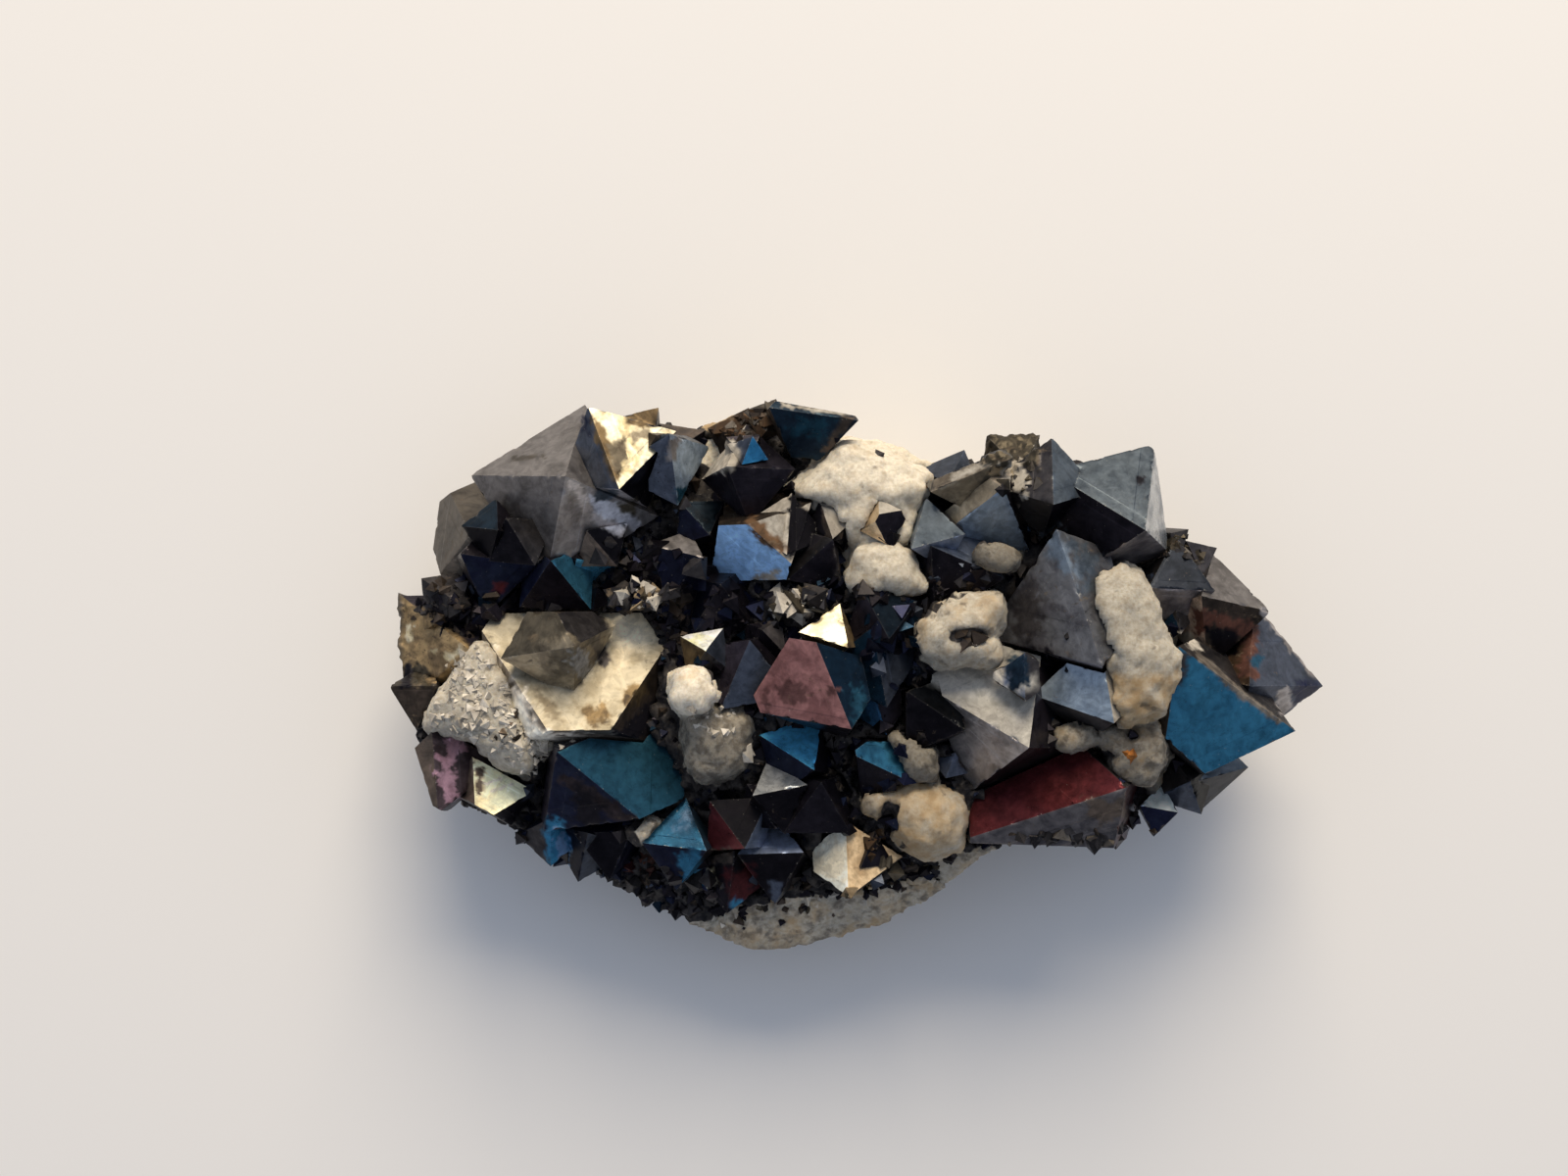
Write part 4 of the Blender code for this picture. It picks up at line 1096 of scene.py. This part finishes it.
# The slate and mottled crystals
# Slate-blue magnetite of the upper right with one large mirror face, grown together with a
# mottled grey crystal.
MOTTLED_GREY = tarnish((64, 64, 65), (46, 45, 47), 0.38, 0.3)

crystals(
    "slate_and_mottled_crystals", "slate_and_mottled", "mottled_slate", 13, IRON_BLACK,
    paint=[
        (MOTTLED_GREY, (1066, 626, 3.4), (1110, 578, 2.3)),
        (STEEL_BLUE, (1144, 492, 0.48), (1014, 532, 4.0), (954, 536, 0.5), (1086, 478, 0.7),
         (934, 536, 1.5)),
        (IRON_BLACK, (1110, 530, 1.1), (974, 590, 0.7), (944, 578, 2.5), (1082, 520)),
        # The grey faces at (1168, 558) and (1084, 674) lie in shadow; their tones of 6 and 9 paint
        # light onto them
        (DARK_GREY, (1054, 488, 1.0), (1168, 558, 6.0), (1058, 524, 0.7), (1084, 674, 9.0)),
        (OLIVE_GREY, (978, 502, 3.4), (1008, 500, 5.0)),
        (WHITE_SILVER, (1180, 534)),
        (WARM_GREY, (1004, 474, 0.7), (1034, 474, 3.6)),
        (DARK_GREY, (1036, 456, 0.8)),
        (SLATE_BLUE, (988, 558, 2.2), (968, 474), (972, 554, 5.0), (984, 472, 1.6)),
    ],
    marks=[
        mark(STEEL_BLUE, 1.6, 5, (1062, 548), (1078, 540), (1104, 578), (1100, 594), (1080, 578)),
        mark(IRON_BLACK, 0.8, 1, (1160, 487), (1168, 486), (1169, 493), (1162, 494)),
        # A thin pale strip along the olive face's upper edge: a painted highlight
        mark(WHITE_CRUST_AND_HIGHLIGHT, 0.6, 1.5, (970, 484), (1018, 468), (1020, 473), (972, 490)),
        mark(OLIVE_GREY, 0.55, 2, (1004, 444), (1062, 444), (1062, 478), (1004, 478), crust=0.3,
             ragged=6),
        mark(WHITE_CRUST_AND_HIGHLIGHT, 0.7, 1.5, (1022, 476), (1040, 472), (1052, 486), (1046, 506), (1034, 500),
             crust=0.1, ragged=8),
        mark(DARK_GREY, 1.6, 6, (1030, 600), (1060, 590), (1064, 640), (1036, 660)),
        mark(STEEL_BLUE, 0.7, 5, (1090, 552), (1120, 566), (1128, 600), (1108, 604)),
        mark(IRON_BLACK, 1.4, 5, (1040, 660), (1070, 664), (1090, 690), (1060, 692)),
    ],
)

# The silver crystals
# Magnetite right of the middle, grown as one: a silver-white face, a grey one below it and a
# light blue one to the right.
SILVER = tarnish((158, 154, 144), (144, 140, 132), 0.75, 0.03, metal=0.0)

crystals(
    "silver_crystals", "silver", "silver_white", 14, DARK_GREY,
    paint=[
        (SILVER, (994, 704, 1.1)),
        (LILAC_GREY, (1004, 766, 2.1)),
        (STEEL_BLUE, (1106, 704, 2.1)),
        (IRON_BLACK, (944, 740, 0.6), (1068, 740, 1.6)),
        (DARK_GREY, (1054, 772, 0.6)),
        (SLATE_BLUE, (950, 708, 0.1), (1034, 690, 3.0), (976, 784, 2.0), (964, 778, 2.4)),
        (DARK_GREY, (1100, 734, 2.0)),
        (WHITE_CRUST_AND_HIGHLIGHT, (1140, 728, 0.6)),
    ],
    marks=[
        # Painted light: the upper left of the silver face lies in the cream mass's shadow and is
        # painted lighter
        mark(SILVER, 1.9, 7, (946, 676), (985, 686), (1020, 704), (1056, 690), (1058, 700),
             (1008, 714), (968, 704), (948, 696), ragged=3),
        mark(WHITE_CRUST_AND_HIGHLIGHT, 0.9, 2, (996, 670), (1012, 664), (1024, 676), (1026, 700), (1008, 702),
             (997, 688), crust=0.18),
        mark(TEAL_BLACK, 1.6, 3, (1026, 668), (1046, 668), (1050, 700), (1030, 706)),
    ],
)

# The dark red crystals
# Magnetite grown out of the lower right edge: a long dark red face over a grey striated one.
crystals(
    "dark_red_crystals", "dark_red", "dark_red_black", 15, DARK_GREY,
    paint=[(DARK_RED, (1098, 792, 2.2), (1156, 808)), (DARK_GREY, (1116, 840, 2.8))],
    marks=[
        mark(BROWN_GREY, 2.0, 3, (1104, 816), (1146, 814), (1152, 834), (1120, 842)),
        mark(IRON_BLACK, 1.5, 3, (1150, 822), (1182, 820), (1184, 848), (1160, 850)),
        mark(DARK_RED, 2.6, 8, (1010, 800), (1080, 772), (1090, 790), (1030, 816)),
    ],
    striated=[(1116, 840)],
)

# The right end crystals
# A large peacock-blue magnetite crystal, with slate and lilac ones grown through it out to the
# right end.
RED_RUST = tarnish((92, 60, 50), (66, 44, 38), 0.6, 0.3, metal=0.2)

crystals(
    "right_end_crystals", "right_end", "peacock_blue", 16, DARK_GREY,
    paint=[
        (PEACOCK_BLUE, (1236, 738, 1.5)),
        (SLATE_BLUE, (1302, 674, 1.2), (1202, 582, 0.35), (1316, 714, 1.3), (1208, 814, 1.2),
         (1244, 800, 0.4)),
        (STEEL_BLUE, (1262, 780, 0.7), (1178, 818, 7.0)),
        (LILAC_GREY, (1252, 598, 0.85)),
        # The brown-grey face at (1220, 642) lies in shadow; its tone of 8 paints light onto it
        (BROWN_GREY, (1250, 636, 0.6), (1220, 642, 8.0), (1184, 734)),
        (DARK_GREY, (1246, 678, 0.7), (1192, 614, 5.0), (1228, 566, 1.6)),
        (RUSTY, (1266, 668, 0.7)),
        (BLUE_BLACK, (1180, 836, 1.5)),
        (TEAL_BLACK, (1226, 806, 0.2)),
    ],
    marks=[
        mark(RED_RUST, 1.0, 2, (1214, 620), (1250, 626), (1284, 638), (1284, 694), (1264, 688),
             (1268, 650), (1236, 638), (1222, 650), ragged=6),
        mark(IRON_BLACK, 0.5, 2, (1230, 641), (1262, 642), (1264, 668), (1242, 668)),
        mark(PEACOCK_BLUE, 0.7, 1.5, (1275, 673), (1283, 668), (1290, 671), (1284, 682),
             (1278, 680), ragged=3),
        mark(LILAC_GREY, 2.4, 1.5, (1303, 703), (1316, 702), (1319, 720), (1308, 734), (1303, 722)),
        mark(BLUE_BLACK, 1.6, 3, (1322, 694), (1350, 692), (1344, 708), (1326, 726), (1320, 718)),
        mark(LILAC_GREY, 1.8, 1.5, (1286, 616), (1346, 688), (1347, 696), (1338, 690), (1288, 628)),
        mark(WHITE_CRUST_AND_HIGHLIGHT, 0.8, 1.5, (1196, 640), (1216, 648), (1226, 664), (1216, 662),
             (1200, 650)),
        mark(WARM_GREY, 1.6, 1.5, (1222, 664), (1262, 700), (1308, 736), (1302, 738), (1256, 704),
             (1220, 670)),
        mark(DARK_GREY, 1.0, 3, (1200, 664), (1214, 668), (1206, 700), (1198, 700)),
    ],
)

# The silver prism
# A bright silver magnetite crystal low in the middle, grown together with a dark one.
BRIGHT_SILVER = tarnish((220, 214, 194), (190, 180, 156), 0.4, 0.05, metal=0.2)

crystals(
    "silver_prism_crystals", "silver_prism", "bright_silver", 17, BROWN_GREY,
    paint=[
        (BRIGHT_SILVER, (848, 874, 1.6)),
        (TAN_CRUST, (874, 858, 2.2)),
        (IRON_BLACK, (894, 872)),
    ],
)

# The small dark crystal at the rim
# A dull black magnetite crystal, sunk in the pale rock of the lower rim.
crystals(
    "small_dark_rim_crystal", "rim_crystal", "rim_black", 18, DARK_GREY,
    paint=[(IRON_BLACK, (932, 880, 0.9))],
)

# The crumbs
# Hundreds of tiny magnetite crystals and broken grains, grown into the dark rock and along the
# seams between the large crystals, thicker in some crumbly places.
CRUMB_TRIES = 6500
CRUMB_REACH = (0.35 * MM, 1.25 * MM)
FIELD_REACH = (0.3 * MM, 0.85 * MM)
SEAM_REACH = 0.8 * MM
LOWEST_IN_A_GAP = 0.7 * SIDE_HEIGHT
LOWEST_IN_A_FIELD = 0.5 * SIDE_HEIGHT
PALE_MARGIN = 6.0
FIELD_MARGIN = 4.0
DARK = 0.06
SINK = 0.3
SIDE_TIPS, END_TIPS = (0.7, 1.2), (0.6, 1.1)
CRUMB_TONES = (0.5, 1.25)
CRUMB_SEED = 41
SPECIMEN = (396, 405, 1348, 968)
TIPS = ((1, 0, 0), (0, 1, 0), (-1, 0, 0), (0, -1, 0))
ORANGE_STAIN = tarnish((176, 112, 54), (130, 78, 40), 0.7, 0.2, metal=0.0)
GAP_FINISHES = (IRON_BLACK,) * 10 + (DARK_GREY,) * 6 + (BROWN_GREY,) * 2 + (BLUE_BLACK,) * 5 + (
    SLATE_BLUE, DARK_BLUE, BROWN_GREY)

# Crumbly places: how many grains, their size, their finishes and the outline that they lie in
CRUMBLY = [
    (16, 1.3, (WHITE_CRUST_AND_HIGHLIGHT, TAN_CRUST, WHITE_CRUST_AND_HIGHLIGHT, OLIVE_GREY), [(631, 605), (650, 590),
        (670, 598), (674, 614), (655, 624), (636, 618)]),
    (3, 1.0, (ORANGE_STAIN,), [(1146, 764), (1154, 762), (1156, 771), (1148, 772)]),
    (2, 1.4, (WHITE_CRUST_AND_HIGHLIGHT,), [(757, 757), (768, 762), (772, 768), (760, 771)]),
    (8, 1.2, (RED_RUST, DARK_RED, BROWN_GREY), [(636, 872), (664, 872), (662, 890), (640, 890)]),
    (40, 1.2, (DARK_GREY, WARM_GREY, BROWN_GREY, DARK_GREY), [(1000, 848), (1060, 846), (1110, 848),
        (1180, 832), (1184, 850), (1130, 862), (1060, 868), (1000, 866)]),
    (22, 1.8, (WHITE_CRUST_AND_HIGHLIGHT, WHITE_CRUST_AND_HIGHLIGHT, DARK_GREY, OLIVE_GREY), [(783, 612), (800, 596),
        (832, 592), (846, 600), (838, 618), (816, 634), (793, 632)]),
    (60, 1.0, (IRON_BLACK, DARK_GREY, BROWN_GREY), [(418, 640), (428, 612), (446, 590), (482, 600),
        (494, 642), (470, 655), (440, 630)]),
    (40, 1.4, (DARK_GREY, DARK_GREY, IRON_BLACK), [(640, 886), (700, 880), (742, 905), (738, 944),
        (690, 928), (642, 906)]),
    (26, 1.6, (BLUE_BLACK, DARK_BLUE, SLATE_BLUE, IRON_BLACK), [(878, 610), (936, 606), (940, 700),
        (890, 706)]),
    (20, 1.0, (OLIVE_GREY, DARK_GREY, WARM_GREY), [(1186, 556), (1206, 542), (1240, 560),
        (1244, 578), (1210, 572)]),
    (36, 1.0, (RUSTY, BROWN_GREY, RUSTY, WARM_GREY), [(716, 446), (738, 426), (784, 416),
        (796, 432), (760, 448)]),
    (12, 1.0, (WARM_GREY, OLIVE_GREY, DARK_GREY), [(1018, 478), (1052, 468), (1064, 500),
        (1046, 520), (1020, 505)]),
    (60, 1.5, (IRON_BLACK, BLUE_BLACK, DARK_GREY, IRON_BLACK), [(618, 545), (700, 560), (735, 600),
        (775, 600), (770, 650), (704, 650), (684, 640), (660, 612), (600, 610)]),
    (16, 1.5, (PLUM, BROWN_GREY, IRON_BLACK, DARK_GREY), [(672, 612), (694, 612), (700, 646),
        (688, 650)]),
    (14, 1.2, (IRON_BLACK, BROWN_GREY, RUSTY, DARK_GREY), [(880, 842), (906, 836), (920, 862),
        (900, 880), (880, 872)]),
    (36, 1.0, (IRON_BLACK, OLIVE_GREY, DARK_GREY), [(900, 880), (960, 876), (985, 866), (960, 900),
        (905, 915)]),
    (5, 1.0, (IRON_BLACK, DARK_GREY, BROWN_GREY), [(1040, 640), (1090, 640), (1100, 690),
        (1050, 700)]),
    (40, 1.0, (WARM_GREY, TAN_CRUST, IRON_BLACK, OLIVE_GREY), [(730, 935), (800, 912), (890, 905),
        (880, 925), (800, 940), (750, 950)]),
    (190, 0.75, (WHITE_CRUST_AND_HIGHLIGHT,), [(432, 736), (462, 672), (484, 658), (500, 676), (528, 716),
        (546, 752), (592, 756), (560, 776), (540, 792), (500, 762)]),
    (24, 0.6, (WHITE_CRUST_AND_HIGHLIGHT, BROWN_GREY, BROWN_GREY), [(500, 740), (530, 724), (548, 752),
        (560, 770), (540, 786), (512, 766)]),
    (26, 0.55, (WHITE_CRUST_AND_HIGHLIGHT,), [(702, 724), (730, 716), (752, 724), (752, 748), (722, 752),
        (702, 748)]),
    (34, 0.8, (BROWN_GREY, IRON_BLACK, OLIVE_GREY, WHITE_CRUST_AND_HIGHLIGHT), [(704, 938), (760, 922),
        (860, 912), (930, 892), (940, 900), (860, 936), (760, 950)]),
]


def surface_at(place):
    """The topmost surface at a place: the point, its slope, and its node and face, if any."""
    ray = line_of_sight(place)
    point, normal, index, distance = rock_skin.ray_cast(EYE, ray)
    node = None
    for other, tree in SEEN.items():
        hit = tree.ray_cast(EYE, ray, distance or EYE.z)
        if hit[0]:
            point, normal, index, distance = hit
            node = other
    return point, normal, node, index


def lies_in(areas, place, margin=0.0):
    """Whether a place is in one of some patches, or within a margin of it."""
    return any(share_of(area, *place, margin) > 0.2 for area in areas)


def room_at(place):
    """Where a crumb can grow in a gap or a dark seam at a place, and how large it may get."""
    point, normal, node, index = surface_at(place)
    if not point or point.z < LOWEST_IN_A_GAP:
        return None
    if node is None and lies_in(PALE_MASSES.values(), place, PALE_MARGIN):
        return None
    if node and LIGHTNESS[node].get(index, DARK) > DARK:
        return None
    room = CRUMB_REACH[1]
    for other, tree in SEEN.items():
        if other != node:
            near = tree.find_nearest(point, CRUMB_REACH[1])
            if near[0]:
                room = min(room, near[3] + 0.5 * CRUMB_REACH[0])
    if node:
        if min(room, rock_skin.find_nearest(point)[3]) > SEAM_REACH:
            return None
        room = 0.7 * CRUMB_REACH[1]
    return point, normal, room


crumb_rng = random.Random(CRUMB_SEED)
crumbs = bmesh.new()
crumb_layers = [crumbs.loops.layers.float_color.new(look) for look in LOOKS]


def crumb(point, normal, reach, finish):
    """Adds one small rough octahedron, sunk into what it grows on."""
    turn = Vector([crumb_rng.gauss(0, 1) for _ in range(3)]).normalized()
    pose = Matrix.Translation(point - normal * SINK * reach)
    pose = pose @ Matrix.Rotation(crumb_rng.uniform(0, math.tau), 4, turn)
    ring = [crumbs.verts.new(pose @ (Vector(tip) * reach * crumb_rng.uniform(*SIDE_TIPS)))
            for tip in TIPS]
    ends = [crumbs.verts.new(pose @ Vector((0, 0, side * reach * crumb_rng.uniform(*END_TIPS))))
            for side in (1, -1)]
    for at in range(4):
        for end in ends:
            corners = (ring[at], ring[(at + 1) % 4], end)
            face = crumbs.faces.new(corners if end is ends[0] else corners[::-1])
            look = look_of(finish, crumb_rng.uniform(*CRUMB_TONES))
            for loop in face.loops:
                tinted(loop, crumb_layers, look)


def somewhere(left, top, right, bottom):
    """A place taken at random."""
    return crumb_rng.uniform(left, right), crumb_rng.uniform(top, bottom)


for _ in range(CRUMB_TRIES):
    room = room_at(somewhere(*SPECIMEN))
    reach = crumb_rng.uniform(*CRUMB_REACH)
    finish = crumb_rng.choice(GAP_FINISHES)
    if room:
        crumb(room[0], room[1], min(reach, room[2]), finish)
for count, size, finishes, outline in CRUMBLY:
    field = patch(outline)
    laid = 0
    while laid < count:
        spot = somewhere(*field["box"])
        if share_of(field, *spot) < 0.5:
            continue
        laid += 1
        point, normal, node, index = surface_at(spot)
        pale_rock = node is None and lies_in(PALE_MASSES.values(), spot, FIELD_MARGIN)
        on_it = WHITE_CRUST_AND_HIGHLIGHT in finishes or ORANGE_STAIN in finishes or not pale_rock
        if point and point.z > LOWEST_IN_A_FIELD and on_it and not lies_in(HOLLOWS, spot):
            crumb(point, normal, size * crumb_rng.uniform(*FIELD_REACH), crumb_rng.choice(finishes))
for vert in crumbs.verts:
    kept_inside(vert.co)
shown("crumbs", crumbs, tarnished_magnetite("crumbs_tarnish", 0.6, 0.9), "iron_black")

# The table
# A plain sheet of warm white paper that the specimen lies on.
PAPER_REACH = 1.5
PAPER = {"Base Color": (0.8, 0.78, 0.745, 1.0), "Roughness": 0.95, "Specular IOR Level": 0.1}

floor_form = bmesh.new()
bmesh.ops.create_grid(floor_form, x_segments=1, y_segments=1, size=PAPER_REACH)
floor_mesh = bpy.data.meshes.new("floor")
floor_form.to_mesh(floor_mesh)
floor_form.free()
paper = bpy.data.materials.new("paper")
paper.use_nodes = True
for socket, value in PAPER.items():
    feed(paper.node_tree.nodes["Principled BSDF"].inputs[socket], value)
floor_mesh.materials.append(paper)
floor = bpy.data.objects.new("floor", floor_mesh)
bpy.context.scene.collection.objects.link(floor)

# The light
# Warm soft daylight from the far side of the table, and a dimmer, bluer light all round that
# is weaker on the near side.
ROOM_LIGHT = (0.40, 0.45, 0.56)
NEAR_AND_FAR = (-0.8, 0.8)
NEAR_AND_FAR_SHARE = (0.55, 1.35)
WINDOW_AT = (0.04, 0.50, 0.34)
WINDOW_SIZE = 0.36
WINDOW_POWER = 4.6
WINDOW_LIGHT = (1.0, 0.86, 0.66)

world = bpy.data.worlds.new("room")
world.use_nodes = True
around = node_of(world.node_tree, "ShaderNodeTexCoord").outputs["Generated"]
along_the_table = node_of(world.node_tree, "ShaderNodeSeparateXYZ", Vector=around).outputs["Y"]
background = world.node_tree.nodes["Background"]
feed(background.inputs["Color"], (*ROOM_LIGHT, 1.0))
feed(background.inputs["Strength"], band(along_the_table, *NEAR_AND_FAR, *NEAR_AND_FAR_SHARE))
bpy.context.scene.world = world
bpy.context.scene.view_settings.view_transform = "Standard"

window = bpy.data.lights.new("window", "AREA")
window.shape = "SQUARE"
window.size = WINDOW_SIZE
window.energy = WINDOW_POWER
window.color = WINDOW_LIGHT
window_stand = bpy.data.objects.new("window", window)
window_stand.location = WINDOW_AT
window_stand.rotation_euler = (-Vector(WINDOW_AT)).to_track_quat("-Z", "Y").to_euler()
bpy.context.scene.collection.objects.link(window_stand)

# The camera
# It looks straight down from where the photograph was taken, a little above and left of the
# specimen's middle.
SENSOR_WIDTH = 36.0

eye = bpy.data.cameras.new("eye")
eye.sensor_width = SENSOR_WIDTH
eye.lens = SENSOR_WIDTH * EYE_TO_MIDDLE / PHOTO_WIDTH_AT_MIDDLE
eye.clip_start, eye.clip_end = 0.01, 10.0
eye_stand = bpy.data.objects.new("eye", eye)
eye_stand.location = EYE
bpy.context.scene.collection.objects.link(eye_stand)
bpy.context.scene.camera = eye_stand
